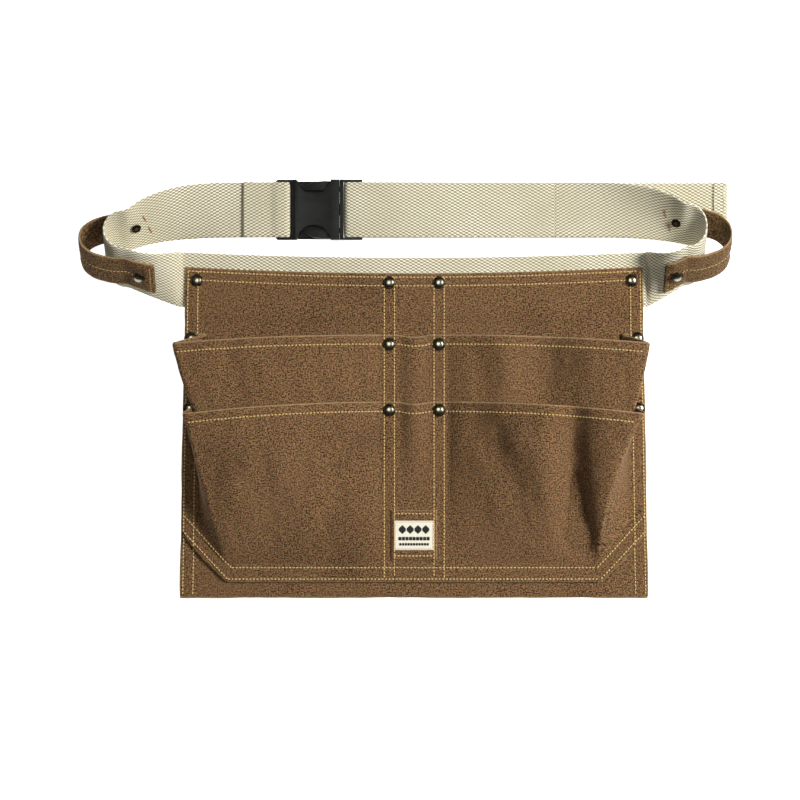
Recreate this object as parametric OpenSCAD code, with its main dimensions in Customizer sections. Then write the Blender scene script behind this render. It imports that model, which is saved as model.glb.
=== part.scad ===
// Canvas waist tool apron on a webbing belt with a side-release buckle.
// Millimetres. The apron lies on its back: X runs along the belt, Y from the
// pocket bottoms up to the belt, and Z out of the front face. The origin is on
// the underside of the back panel, at its middle.

/* [Back panel] */
// Half the panel's width along its bottom edge
panel_half_bottom = 216.5; // [205:0.5:235]
// Half the panel's width along its top edge
panel_half_top = 211; // [202:0.5:230]
// Height of the panel from its bottom edge to its top corners
panel_h = 305; // [295:1:370]
// How far the top edge sags at mid width
top_dip = 6; // [0:0.5:10]
// Thickness of the canvas
canvas_t = 1.6; // [1.2:0.1:2]
// Gap left between layers of cloth that are sewn together
sewn_gap = 0.05; // [0.03:0.01:0.15]

/* [Webbing belt] */
// Width of the webbing
web_w = 50; // [40:0.5:60]
// Thickness of the webbing
web_t = 2.2; // [1.6:0.1:2.6]
// How far the belt stands above the middle of the panel's top edge
web_show = 15; // [8:1:20]
// How far the belt's left bend reaches from the middle
bend_reach_left = 283; // [275:1:330]
// How far the belt's right bend reaches from the middle
bend_reach_right = 266; // [260:1:320]
// Lean of the belt where it turns on its edge at the bends
bend_lean = 47; // [30:1:60]
// How far the back run of the belt lies above the panel's top corners
back_run_up = 53; // [50:1:90]
// How far the free end of the belt reaches to the right
tail_reach = 289; // [270:1:330]
// How far the free end can be pulled through the buckle
tail_travel = 12; // [5:1:14]

/* [Pockets] */
// Height of the pocket bottoms above the panel's bottom edge
pocket_foot = 14.5; // [10:0.5:20]
// Distance from the pocket bottoms up to the upper pocket's mouth
upper_mouth = 228; // [220:1:240]
// Distance from the pocket bottoms up to the lower pocket's mouth
lower_mouth = 166; // [140:1:172]
// How far the upper pocket's mouth stands off the panel at its sides
upper_depth = 26; // [18:1:32]
// How far the lower pocket's mouth stands off the panel at its sides
lower_depth = 44; // [40:1:60]
// How far the upper pocket's middle slot bows out
upper_bow = 7; // [6:0.5:8]
// How far the lower pocket's middle slot bows out
lower_bow = 17; // [15:0.5:20]
// How far the pocket's bottom corners are cut in along the bottom
corner_cut_x = 43; // [35:1:50]
// How far the pocket's bottom corners are cut up along the sides
corner_cut_y = 46; // [36:1:56]
// How far the upper pocket's left corner stands out beyond the panel
upper_flare_left = 8.5; // [3:0.5:10]
// How far the upper pocket's right corner stands out beyond the panel
upper_flare_right = 2.5; // [1:0.5:10]
// How far the lower pocket's left fold draws in half way down
lower_draw_left = 2.5; // [0:0.5:12]
// How far the lower pocket's right fold draws in half way down
lower_draw_right = 14; // [0:0.5:16]
// Distance of each sewn column from the middle
column_x = 23; // [21:0.5:26]
// Half the width of each sewn column
column_half = 9; // [8:0.5:10]

/* [Label] */
// Width of the canvas patch under the label
patch_w = 42; // [38:1:44]
// Height of the canvas patch under the label
patch_h = 46; // [36:1:50]
// Height of the patch's middle above the pocket bottoms
patch_up = 43; // [40:1:48]
// Width of the woven label
label_w = 37; // [30:1:38]
// Height of the woven label
label_h = 27; // [20:1:32]
// Thickness of the woven label
label_t = 0.5; // [0.3:0.1:0.8]

/* [Rivets] */
// Diameter of a rivet's domed cap
cap_d = 12; // [9:0.5:13]
// Height of a rivet's domed cap
cap_h = 2.4; // [1.8:0.1:3]
// Diameter of a rivet's post
post_d = 3.6; // [3:0.1:4.5]
// Diameter of a rivet's back plate
plate_d = 9; // [8:0.5:10]
// Thickness of a rivet's back plate
plate_t = 0.8; // [0.5:0.1:0.9]
// Clearance between a rivet and the hole it sits in
rivet_gap = 0.1; // [0.05:0.01:0.3]

/* [Hammer loops] */
// Width of the loops' canvas strap
loop_w = 32; // [26:1:36]
// Thickness of the loops' canvas strap
loop_t = 3; // [2:0.1:4]
// How far the left loop stands out from the belt's bend
loop_out_left = 19; // [18:1:30]
// How far the right loop stands out from the belt's bend
loop_out_right = 19.5; // [18:1:30]

/* [Buckle] */
// Height of the closed buckle
buckle_h = 12; // [11:0.5:15]
// Distance from the middle of the apron to the buckle's parting line
buckle_x = 69; // [60:1:80]
// Length of the socket's body
socket_len = 41; // [38:1:46]
// Thickness of the buckle's walls
buckle_wall = 2.4; // [2:0.1:3]
// Width of the side rails beyond the webbing
rail_w = 2.3; // [2:0.1:3]
// Clearance between the webbing and the buckle's rails
web_gap = 0.4; // [0.3:0.1:1]
// Clearance between the plug and the socket
plug_gap = 0.4; // [0.3:0.05:0.6]
// Length of the plug's side prongs
prong_len = 32; // [28:1:35]
// How far the plug pulls out of the socket
plug_travel = 36; // [30:1:60]
// How far each prong turns in when it is squeezed, in degrees
prong_squeeze = 8; // [6:0.5:9]

/* [Hidden] */
$fn = 48;
canvas = [0.42, 0.28, 0.17];
canvas_dark = [0.34, 0.22, 0.13];
cream = [0.86, 0.82, 0.68];
metal = [0.38, 0.37, 0.35];
black = [0.08, 0.08, 0.08];

panel_top = panel_h/2;
foot_y = -panel_top + pocket_foot;
upper_y = foot_y + upper_mouth;
lower_y = foot_y + lower_mouth;
base_upper = canvas_t + sewn_gap;
base_lower = 2*base_upper;
base_patch = 3*base_upper;
rise = web_t + sewn_gap;

belt_top_y = panel_top - top_dip + web_show;
belt_mid_y = belt_top_y - web_w/2;
belt_side_up = 5;
belt_start = half_width(belt_mid_y - web_w/2) + 2.3;
back_mid_y = panel_top + back_run_up;
buckle_mid_z = buckle_h/2 + 0.6;
bar_x = buckle_x + socket_len + 9;
bar_r = 2.4;
left_end = bar_x + 9;
slack_from = 130;
wrap_r = bar_r + 0.35 + web_t/2;

// One side of the belt: [sign, reach of the bend, half length and middle height
// of the bend's arc, its half width, height of its lower edge, inner end]
side_left = [-1, bend_reach_left, 19, panel_top + 16, 17, web_t/2 + 0.1, left_end];
side_right = [1, bend_reach_right, 18, panel_top + 19.5, 19.5, web_t*1.5 + 1, slack_from];
arc_steps = 8;
front_steps = 6;
back_steps = 9;

function lerp(a, b, t) = a + (b - a)*t;
function clamp(t) = min(1, max(0, t));
function ease(t) = t*t*(3 - 2*t);
function unit(v) = v/norm(v);
function half_width(y) = lerp(panel_half_bottom, panel_half_top, (y + panel_top)/panel_h);
function belt_bow_y(x) = belt_mid_y + belt_side_up*pow(x/belt_start, 2);

// ---- sheets: a grid of points with a thickness along each point's normal ----

function grid_faces(m, n) = let (k = m*n)
  [for (j = [0:m - 2], i = [0:n - 2], f = [0:3])
     let (a = j*n + i, b = a + 1, c = a + n, d = c + 1)
     f == 0 ? [k + a, k + b, k + d] : f == 1 ? [k + a, k + d, k + c]
     : f == 2 ? [a, d, b] : [a, c, d]];

function rim_faces(m, n) = let (k = m*n, z = (m - 1)*n)
  concat(
    [for (i = [0:n - 2], f = [0, 1]) f == 0 ? [i + 1, k + i + 1, k + i] : [i + 1, k + i, i]],
    [for (i = [0:n - 2], f = [0, 1])
       f == 0 ? [z + i, k + z + i, k + z + i + 1] : [z + i, k + z + i + 1, z + i + 1]],
    [for (j = [0:m - 2], f = [0, 1]) let (a = j*n, c = a + n)
       f == 0 ? [a, k + a, k + c] : [a, k + c, c]],
    [for (j = [0:m - 2], f = [0, 1]) let (a = j*n + n - 1, c = a + n)
       f == 0 ? [c, k + c, k + a] : [c, k + a, a]]);

module sheet(low, high, m, n) {
  polyhedron(points = concat(low, high), faces = concat(grid_faces(m, n), rim_faces(m, n)));
}

// A strap along stations [x, y, z, lean], its width leaning up from the Y axis
function across(lean) = [0, cos(lean), sin(lean)];
function spot(s) = [s[0], s[1], s[2]];
function heading(path, j) =
  unit(spot(path[min(len(path) - 1, j + 1)]) - spot(path[max(0, j - 1)]));
function outward(path, j) = unit(cross(heading(path, j), across(path[j][3])));

// The first and last "spare" stations only steer the strap's ends and aren't drawn
module strap(path, width, thick, lift = 0, spare = 0) {
  m = len(path);
  function edge(off) = [for (j = [spare:m - 1 - spare], e = [-1, 1])
    spot(path[j]) + e*width/2*across(path[j][3]) + (lift + off)*outward(path, j)];
  sheet(edge(-thick/2), edge(thick/2), m - 2*spare, 2);
}

// ---- the belt's route ----

function arc_x(s) = s[1] - s[2];
function front_at(s, ax) = let (t = clamp((ax - belt_start)/(arc_x(s) - belt_start)),
    lean = bend_lean*sin(90*pow(t, 0.7)), low = lerp(web_t/2, s[5], ease(t)),
    y = ax < belt_start ? belt_bow_y(ax)
      : lerp(belt_mid_y + belt_side_up, s[3] - s[4], t*t))
  [s[0]*ax, y, low + web_w/2*sin(lean), lean];
function back_at(s, ax) = let (t = clamp((ax - s[6])/(arc_x(s) - s[6])),
    lean = bend_lean*t*t, low = lerp(buckle_mid_z, s[5], ease(t)))
  [s[0]*ax, lerp(back_mid_y, s[3] + s[4], pow(t, 4)), low + web_w/2*sin(lean), lean];
function arc_at(s, a) =
  [s[0]*(arc_x(s) + s[2]*sin(a)), s[3] - s[4]*cos(a), s[5] + web_w/2*sin(bend_lean), bend_lean];

function front_run(s) = [for (k = [0:front_steps])
  front_at(s, lerp(belt_start, arc_x(s), k/front_steps))];
function bend_arc(s) = [for (k = [1:arc_steps - 1]) arc_at(s, 180*k/arc_steps)];
function back_run(s) = [for (k = [0:back_steps]) back_at(s, lerp(arc_x(s), s[6], k/back_steps))];
function flip(list) = [for (i = [len(list) - 1:-1:0]) list[i]];
function side_route(s) = concat(front_run(s), bend_arc(s), back_run(s));
front_middle = [for (k = [1:13]) let (x = lerp(-belt_start, belt_start, k/14))
  [x, belt_bow_y(x), web_t/2, 0]];
belt_route = concat(flip(side_route(side_left)), front_middle, side_route(side_right));

// ---- rivets ----

column_y = [panel_top - 14, upper_y - 8.5, lower_y - 7.3];
column_base = [rise + canvas_t, base_upper + canvas_t, base_lower + canvas_t];
column_spots = [for (s = [-1, 1], k = [0:2]) [s*column_x, column_y[k], column_base[k]]];
corner_spots = [for (s = [-1, 1]) [s*(panel_half_top - 10), panel_top - 12, rise + canvas_t]];
side_y = [upper_y - 3, lower_y - 6];
side_base = [base_upper + canvas_t, base_lower + canvas_t];
side_spots = [for (s = [-1, 1], k = [0, 1])
  [s*(half_width(side_y[k]) - cap_d/2 + 0.5), side_y[k], side_base[k]]];

module cap_at(p) {
  r = (cap_d*cap_d/4 + (cap_h - 0.6)*(cap_h - 0.6))/(2*(cap_h - 0.6));
  translate(p + [0, 0, sewn_gap]) {
    cylinder(d = cap_d, h = 0.6);
    translate([0, 0, 0.6]) intersection() {
      translate([0, 0, cap_h - 0.6 - r]) sphere(r = r);
      cylinder(d = cap_d, h = cap_h);
    }
  }
}

module back_at_z(p) {
  translate([p[0], p[1], 0]) {
    cylinder(d = plate_d, h = plate_t);
    cylinder(d = post_d, h = p[2]);
  }
}

module holes(spots) {
  for (p = spots) translate([p[0], p[1], -5]) {
    cylinder(d = post_d + 2*rivet_gap, h = 40);
    cylinder(d = plate_d + 2*rivet_gap, h = 5 + plate_t + rivet_gap);
  }
}

// ---- panel and pockets ----

module back_panel() {
  step_y = belt_mid_y - web_w/2 - 2;
  ramp_y = max(step_y - 9, upper_y + 4);
  color(canvas) difference() {
    intersection() {
      linear_extrude(20) polygon(concat(
        [[-panel_half_bottom, -panel_top], [panel_half_bottom, -panel_top]],
        [for (k = [0:16]) let (x = panel_half_top*(1 - k/8))
          [x, panel_top - top_dip*(1 - pow(x/panel_half_top, 2))]]));
      translate([-300, 0, 0]) rotate([90, 0, 90]) linear_extrude(600) polygon([
        [-panel_top - 9, 0], [ramp_y, 0], [step_y, rise], [panel_top + 9, rise],
        [panel_top + 9, rise + canvas_t], [step_y - 0.5, rise + canvas_t],
        [ramp_y - 0.5, canvas_t], [-panel_top - 9, canvas_t]]);
    }
    holes(concat(column_spots, corner_spots, side_spots));
  }
}

// Where each pocket's front face folds back into its side gusset, at height y
lower_corner_y = lower_y - 10.5;
upper_corner_y = upper_y - 8;
function lower_crease(y, s) = let (t = clamp((lower_corner_y - y)/(lower_corner_y - foot_y - 16)))
  lerp(half_width(lower_corner_y) - 4, panel_half_bottom - corner_cut_x, t) + 2.5*sin(180*t)
    - (s < 0 ? lower_draw_left : lower_draw_right)*pow(sin(180*t), 0.6);
function upper_crease(y, s) = y > lower_corner_y
  ? let (t = (upper_corner_y - y)/(upper_corner_y - lower_corner_y))
    lerp(half_width(upper_corner_y) + (s < 0 ? upper_flare_left : upper_flare_right),
      lower_crease(lower_corner_y, s) - 9, pow(max(0, t), 1.3))
  : lower_crease(y, s) - 9;
function crease(lower, y, s) = lower ? lower_crease(y, s) : upper_crease(y, s);

face_q = [0.06, 0.15, 0.27, 0.4, 0.55, 0.7, 0.85, 1];
gusset_g = [0.66, 0.33, 0];
column_in = column_x - column_half;
column_out = column_x + column_half;
face_n = len(face_q);
across_n = 4 + face_n + len(gusset_g) + 1;
down_n = 12;
flat_from = 0.89;
function down(j) = j == down_n ? 1 : flat_from*j/(down_n - 1);
function cut_y(x) = foot_y + (x - panel_half_bottom + corner_cut_x)*corner_cut_y/corner_cut_x;

// A point of a pocket on side s: i counts out from the middle, v runs from mouth to foot
function pocket_point(lower, i, v, s) = let (
    mouth = lower ? lower_y : upper_y, corner = lower ? lower_corner_y : upper_corner_y,
    depth = lower ? lower_depth : upper_depth, bow = lower ? lower_bow : upper_bow,
    base = lower ? base_lower : base_upper, open = 1 - pow(min(1, v/flat_from), 1.5),
    drop = mouth - corner, patch_top = foot_y + patch_up + patch_h/2 + 8,
    q = i < 4 ? 0 : i < 4 + face_n ? face_q[i - 4] : 1,
    y_face = lerp(mouth - drop*q*q, foot_y, v))
  i < 4 ? let (x = [0, column_in/2, column_in, column_out][i],
      y = lerp(mouth - (i < 2 ? 2 : 0), foot_y, v), k = clamp((y - patch_top)/(mouth - patch_top)))
    [x, y, base + bow*ease(k)*[1, 0.6, 0, 0][i]]
  : i < 4 + face_n ? [lerp(column_out, crease(lower, y_face, s), q), y_face,
      base + depth*open*pow(sin(90*q), 0.85)]
  : let (g = i < across_n - 1 ? gusset_g[i - 4 - face_n] : 0, rim = i == across_n - 1,
      in_x = panel_half_bottom - (lower ? 18.5 : 23), y_fold = lerp(corner, foot_y, v),
      y_side = lerp(corner + 9, cut_y(rim ? panel_half_bottom : in_x), v),
      y = lerp(y_side, lerp(corner, foot_y, v), g))
    rim ? [half_width(y) - 1, y, base]
    : [lerp(in_x + half_width(y) - panel_half_bottom + 3*v, crease(lower, y_fold, s), g)
         + (lower ? 3 : 1)*open*sin(180*g), y, base + depth*open*g];

// One row across a piece of pocket: the middle slot, or one side from its column out
function pocket_row(lower, v, s) = s == 0
  ? [for (i = [-2:2]) let (p = pocket_point(lower, abs(i), v, 1)) [sign(i)*(p[0] - sewn_gap), p[1], p[2]]]
  : [for (i = [2:across_n - 1]) pocket_point(lower, i, v, s)];

// The direction of a row's thickness, upright at the row's sewn ends
function flat_xz(p) = [p[0], p[2]];
function row_normal(row, i) = i == 0 || i == len(row) - 1 ? [0, 0, 1]
  : let (p = flat_xz(row[i]), t = unit(unit(p - flat_xz(row[i - 1])) + unit(flat_xz(row[i + 1]) - p)))
    [-t[1], 0, t[0]];

// One piece of pocket: side s is -1 or 1, drawn to the right, or 0 for the middle slot
module pocket(lower, s) {
  rows = [for (j = [0:down_n]) pocket_row(lower, down(j), s)];
  n = len(rows[0]);
  low = [for (r = rows, p = r) p];
  high = [for (r = rows, i = [0:n - 1]) r[i] + canvas_t*row_normal(r, i)];
  sheet(low, high, down_n + 1, n);
}

module upper_side(s) {
  color(canvas) difference() {
    if (s < 0) mirror([1, 0, 0]) pocket(false, s);
    else pocket(false, s);
    holes([for (p = concat(column_spots, side_spots)) if (p[1] < upper_y + 5 && s*p[0] > 0) p]);
  }
}

module lower_side(s) {
  color(canvas_dark) difference() {
    if (s < 0) mirror([1, 0, 0]) pocket(true, s);
    else pocket(true, s);
    holes([for (p = concat(column_spots, side_spots)) if (p[1] < lower_y && s*p[0] > 0) p]);
  }
}

module upper_pocket_left() { upper_side(-1); }
module upper_pocket_slot() { color(canvas) pocket(false, 0); }
module upper_pocket_right() { upper_side(1); }
module lower_pocket_left() { lower_side(-1); }
module lower_pocket_slot() { color(canvas_dark) pocket(true, 0); }
module lower_pocket_right() { lower_side(1); }

module block(w, h, t, p) {
  translate(p - [w/2, h/2, 0]) cube([w, h, t]);
}

module label_patch() {
  color(canvas) block(min(patch_w, 2*column_in + 14), patch_h, canvas_t,
    [0, foot_y + patch_up, base_patch]);
}

module label() {
  color(cream) block(label_w, label_h, label_t,
    [0, foot_y + patch_up, base_patch + canvas_t + sewn_gap]);
}

// ---- belt ----

module webbing() {
  color(cream) difference() {
    strap(belt_route, web_w, web_t);
    holes(concat([for (p = column_spots) if (p[1] > upper_y) p], corner_spots));
    for (s = sides, back = [false, true]) loop_rivet(s, back)
      translate([0, 0, -20]) cylinder(d = post_d + 2*rivet_gap, h = 40);
  }
}

module wrap(x, a0, a1, lead) {
  // a strap that turns round a bar at x, seen along Y, with a straight lead at each end
  arc = [for (k = [0:10]) let (a = lerp(a0, a1, k/10))
    [x + wrap_r*cos(a), back_mid_y, buckle_mid_z + wrap_r*sin(a), 0]];
  strap(concat(lead[0], arc, lead[1]), web_w, web_t);
}

module webbing_fold() {
  over = web_t + sewn_gap;
  color(cream) wrap(-bar_x, -90, 90, [
    [[-left_end + 1.4, back_mid_y, buckle_mid_z - 0.6, 0],
     [-bar_x - 4, back_mid_y, buckle_mid_z - wrap_r*0.75, 0]],
    [[-bar_x - 6, back_mid_y, buckle_mid_z + wrap_r, 0],
     [-bar_x - 14, back_mid_y, back_z(bar_x + 14) + over + 0.5, 0],
     for (x = [bar_x + 22:8:bar_x + 38]) let (p = back_at(side_left, x))
       [-x, p[1], p[2] + over + 0.5, p[3]]]]);
}
function back_z(x) = back_at(side_left, x)[2];

strap_bar_x = buckle_x - 9;
module webbing_slack() {
  start = back_at(side_right, slack_from);
  color(cream) wrap(-strap_bar_x, 270, 90, [
    [[-strap_bar_x + 9, back_mid_y, buckle_mid_z - wrap_r, 0]],
    [for (x = [-strap_bar_x + 14:22:slack_from - 8])
       [x, back_mid_y, lerp(buckle_mid_z + wrap_r + 0.2, start[2], ease(clamp((x + 46)/150))), 0],
     [slack_from - 0.05, start[1], start[2], start[3]]]]);
}

module webbing_tail() {
  low = web_t/2 + 0.05;
  color(cream) strap([
    [-strap_bar_x + 9.4, back_mid_y, buckle_mid_z - wrap_r, 0],
    [-strap_bar_x + 26, back_mid_y, low, 0], [tail_reach, back_mid_y, low, 0]], web_w, web_t);
}

// ---- hammer loops ----

sides = [side_left, side_right];
loop_gap = 1.3*web_w/50;
plate_lift = 2.3*web_w/50;
loop_lift = web_t/2 + loop_t/2 + loop_gap;
loop_hold = 3;
function front_of(s) = [for (k = [front_steps - loop_hold - 1:front_steps]) front_run(s)[k]];
function back_of(s) = [for (k = [0:2]) back_run(s)[k]];
function loop_out(s) = s[0] < 0 ? loop_out_left : loop_out_right;

// The loop rides on the belt's outer face, swings wide of the bend and rides on again
function loop_route(s) = let (c = arc_x(s), out = loop_out(s), w = web_w/2*sin(bend_lean) + s[5])
  concat(front_of(s),
    [for (k = [1:9]) let (a = 18*k) [s[0]*(c + out*0.72 + (s[2] + out*0.28)*sin(a)
        - out*0.72*pow(abs(cos(a)), 3)), s[3] - (s[4] + 2.5*sin(a))*cos(a), w, bend_lean]],
    back_of(s));

module hammer_loop(s) {
  color(canvas) difference() {
    strap(s[0] < 0 ? flip(loop_route(s)) : loop_route(s), loop_w, loop_t, loop_lift, 1);
    for (back = [false, true]) loop_rivet(s, back)
      translate([0, 0, -20]) cylinder(d = post_d + 2*rivet_gap, h = 40);
  }
}

// Places children at a loop's rivet, with Z out of the belt's outer face
module loop_rivet(s, back) {
  run = back ? back_run(s) : flip(front_run(s));
  k = back ? 0 : 1;
  a = spot(run[k]);
  b = spot(run[k + 1]);
  lean = (run[k][3] + run[k + 1][3])/2;
  n = cross([back ? -1 : 1, 0, 0], across(lean));
  along = unit(b - a);
  out = unit(cross(along, across(lean)));
  z = out*n > 0 ? out : -out;
  u = unit(cross([0, 1, 0], z));
  v = cross(z, u);
  p = (a + b)/2;
  multmatrix([[u[0], v[0], z[0], p[0]], [u[1], v[1], z[1], p[1]], [u[2], v[2], z[2], p[2]]])
    children();
}

module rivet_caps_loops() {
  color(metal) for (s = sides, back = [false, true]) loop_rivet(s, back)
    cap_at([0, 0, loop_lift + loop_t/2 + plate_lift]);
}

module rivet_backs_loops() {
  color(metal) for (s = sides, back = [false, true]) loop_rivet(s, back)
    translate([0, 0, -web_t/2 - plate_lift - plate_t]) {
      cylinder(d = plate_d, h = plate_t);
      cylinder(d = post_d, h = plate_t + web_t/2 + loop_lift + loop_t/2 + 2*plate_lift);
    }
}

// ---- rivets through the apron ----

module rivet_caps_columns() {
  color(metal) for (p = column_spots) cap_at(p);
}
module rivet_backs_columns() {
  color(metal) for (p = column_spots) back_at_z(p);
}
module rivet_caps_corners() {
  color(metal) for (p = corner_spots) cap_at(p);
}
module rivet_backs_corners() {
  color(metal) for (p = corner_spots) back_at_z(p);
}
module rivet_caps_sides() {
  color(metal) for (p = side_spots) cap_at(p);
}
module rivet_backs_sides() {
  color(metal) for (p = side_spots) back_at_z(p);
}

// ---- side-release buckle, drawn about its own middle line ----

half_buckle = web_w/2 + web_gap + rail_w;
cave_half = half_buckle - 2.4;
cave_h = buckle_h - 2*buckle_wall;
prong_h = cave_h - 2*plug_gap;
prong_y = cave_half - 6.2;
prong_arm = 3;
tongue_half = 5;
notch_x = 23.5;
notch_r = 16;
notch_in = 13.5;
cave_edge = notch_r - notch_in + half_buckle - cave_half;
lock_x = notch_x - sqrt(notch_r*notch_r - cave_edge*cave_edge) + plug_gap;
frame_len = 21;

module at_buckle() {
  translate([-buckle_x, back_mid_y, buckle_mid_z]) children();
}

module buckle_socket() {
  color(black) at_buckle() difference() {
    union() {
      translate([0, 0, -buckle_h/2]) linear_extrude(buckle_h) difference() {
        translate([-socket_len, -half_buckle]) square([socket_len, 2*half_buckle]);
        for (s = [-1, 1]) translate([-notch_x, s*(half_buckle - notch_in + notch_r)])
          circle(r = notch_r);
      }
      for (s = [-1, 1]) translate([0, 0, -buckle_h/4]) linear_extrude(buckle_h/2) polygon([
        [-notch_x - notch_r + 3, s*(half_buckle - 8)], [-socket_len + 3, s*(half_buckle - 1.5)],
        [-socket_len, s*half_buckle], [buckle_x - bar_x - 7, s*half_buckle],
        [buckle_x - bar_x - 9, s*(half_buckle - rail_w + 0.2)],
        [-socket_len - 4, s*(half_buckle - rail_w)], [-socket_len, s*(half_buckle - 9)]]);
      translate([buckle_x - bar_x, half_buckle, 0]) rotate([90, 0, 0])
        cylinder(r = bar_r, h = 2*half_buckle);
    }
    translate([-socket_len + buckle_wall, -cave_half, -cave_h/2])
      cube([socket_len, 2*cave_half, cave_h]);
  }
}

module ridge(x) {
  translate([x, -half_buckle + 2, buckle_h/2 - 0.4]) cube([1.1, 2*half_buckle - 4, 0.9]);
}

module buckle_plug() {
  wall_x = plug_gap;
  wall = 3.4;
  slot = 2*(wrap_r + web_t/2 + 0.3);
  root_r = prong_arm/2 + 0.9;
  color(black) at_buckle() difference() {
    union() {
      translate([wall_x, -half_buckle, -buckle_h/2]) cube([wall, 2*half_buckle, buckle_h]);
      for (s = [0, 1]) translate([wall_x, s*(2*half_buckle - rail_w + 0.4) - half_buckle,
          -buckle_h/2 + 1.5]) cube([frame_len, rail_w - 0.4, buckle_h - 3]);
      translate([buckle_x - strap_bar_x, half_buckle, 0]) rotate([90, 0, 0])
        cylinder(r = bar_r, h = 2*half_buckle);
      translate([wall_x + frame_len - 4, half_buckle, -0.6]) rotate([90, 0, 0])
        cylinder(r = 1.7, h = 2*half_buckle);
      translate([-prong_len + 4, -tongue_half, -prong_h/2])
        cube([prong_len - 3.5, 2*tongue_half, prong_h]);
      ridge(wall_x + 0.3);
      ridge(wall_x + 2);
    }
    for (s = [-1, 1]) translate([wall_x, s*prong_y, -prong_h/2 - plug_gap])
      cylinder(r = root_r + 0.3, h = prong_h + 2*plug_gap);
  }
}

// One prong, its root round about the origin and its barb out along +Y
module prong() {
  root_r = prong_arm/2 + 0.9;
  barb = half_buckle - prong_y - 1.2;
  translate([0, 0, -prong_h/2]) {
    cylinder(r = root_r, h = prong_h);
    linear_extrude(prong_h) polygon([[0, -prong_arm/2], [-prong_len, -prong_arm/2],
      [-prong_len - 1.5, 1], [-prong_len + 3, cave_half - prong_y - 2], [-prong_len + 8, barb - 0.9],
      [-lock_x - 5, barb], [-lock_x, barb - 0.3], [-lock_x, prong_arm/2 + 1],
      [-lock_x + 1, prong_arm/2], [0, prong_arm/2]]);
  }
}

module buckle_prong_upper() {
  color(black) at_buckle() translate([plug_gap, prong_y, 0]) prong();
}

module buckle_prong_lower() {
  color(black) at_buckle() translate([plug_gap, -prong_y, 0]) mirror([0, 1, 0]) prong();
}

module hammer_loop_left() { hammer_loop(side_left); }
module hammer_loop_right() { hammer_loop(side_right); }

back_panel();
upper_pocket_left();
upper_pocket_slot();
upper_pocket_right();
lower_pocket_left();
lower_pocket_slot();
lower_pocket_right();
label_patch();
label();
webbing();
webbing_fold();
webbing_slack();
webbing_tail();
hammer_loop_left();
hammer_loop_right();
rivet_caps_columns();
rivet_backs_columns();
rivet_caps_corners();
rivet_backs_corners();
rivet_caps_sides();
rivet_backs_sides();
rivet_caps_loops();
rivet_backs_loops();
buckle_socket();
buckle_plug();
buckle_prong_upper();
buckle_prong_lower();
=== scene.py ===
"""A canvas tool belt laid flat: sewn pockets, a woven belt, hammer loops, rivets and a side-release buckle.

Lengths are millimetres until a mesh is made; X runs along the belt, Y up the panel, Z out of its front.
"""

import math

import bpy
import numpy as np
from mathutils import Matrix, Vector, noise
from mathutils.bvhtree import BVHTree


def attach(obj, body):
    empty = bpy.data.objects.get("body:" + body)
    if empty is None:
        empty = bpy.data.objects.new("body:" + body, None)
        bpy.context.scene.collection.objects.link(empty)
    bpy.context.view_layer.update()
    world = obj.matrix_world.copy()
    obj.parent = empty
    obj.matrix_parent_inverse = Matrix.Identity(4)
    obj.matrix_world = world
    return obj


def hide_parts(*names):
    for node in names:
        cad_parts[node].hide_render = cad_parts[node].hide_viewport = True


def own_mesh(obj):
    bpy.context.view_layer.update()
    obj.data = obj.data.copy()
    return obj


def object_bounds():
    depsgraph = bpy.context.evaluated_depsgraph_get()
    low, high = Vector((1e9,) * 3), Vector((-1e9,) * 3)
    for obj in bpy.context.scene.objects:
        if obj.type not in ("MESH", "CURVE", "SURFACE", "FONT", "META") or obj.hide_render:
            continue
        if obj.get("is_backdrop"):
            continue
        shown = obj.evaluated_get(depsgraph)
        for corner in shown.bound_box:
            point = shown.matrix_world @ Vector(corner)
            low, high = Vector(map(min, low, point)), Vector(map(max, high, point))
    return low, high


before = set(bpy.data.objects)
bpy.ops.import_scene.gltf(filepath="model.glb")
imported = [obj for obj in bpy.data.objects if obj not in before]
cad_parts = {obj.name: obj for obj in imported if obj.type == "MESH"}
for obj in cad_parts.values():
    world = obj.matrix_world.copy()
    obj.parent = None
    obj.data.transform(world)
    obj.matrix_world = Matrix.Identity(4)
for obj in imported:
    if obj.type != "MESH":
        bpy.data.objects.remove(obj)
cad_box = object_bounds()
MM = 0.001

# ---- the belt's own sizes ----

PANEL_BOTTOM, PANEL_TOP, PANEL_H, TOP_DIP = 216.5, 211.0, 305.0, 6.0
CANVAS, SEWN_GAP = 1.6, 0.05
WEB_W, WEB_T = 50.0, 2.2
LEAN = 47.0
FOOT = 14.5
CUT_X, CUT_Y = 43.0, 46.0
COLUMN_X, COLUMN_HALF = 23.0, 9.0
PATCH_W, PATCH_H, PATCH_UP = 42.0, 46.0, 43.0
LABEL_W, LABEL_H, LABEL_T = 37.0, 27.0, 0.5
CAP_D, PLATE_T = 12.0, 0.8
LOOP_W, LOOP_T = 32.0, 3.0
BUCKLE_X, BUCKLE_H, SOCKET_LEN, BAR_R = 69.0, 12.0, 41.0, 2.4
UPPER_UP, LOWER_UP = 228, 166

# ---- its sewing and weave ----

HEM = 11.0
SIDE_SEAMS = (2.2, 11.5)
COLUMN_SEAMS = (-4.7, 4.7)
FOOT_SEAMS, MOUTH_SEAM = (2.5, 13.0), 9.0
FOLD_HEM, TAIL_HEM = 11, 12.5
SELVEDGE = 0.16
WEAVE_CELL, WEAVE_ROW = 5.3, 2.9
BAR_EASE, BAR_PRESS = 0.22, 0.1

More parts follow.
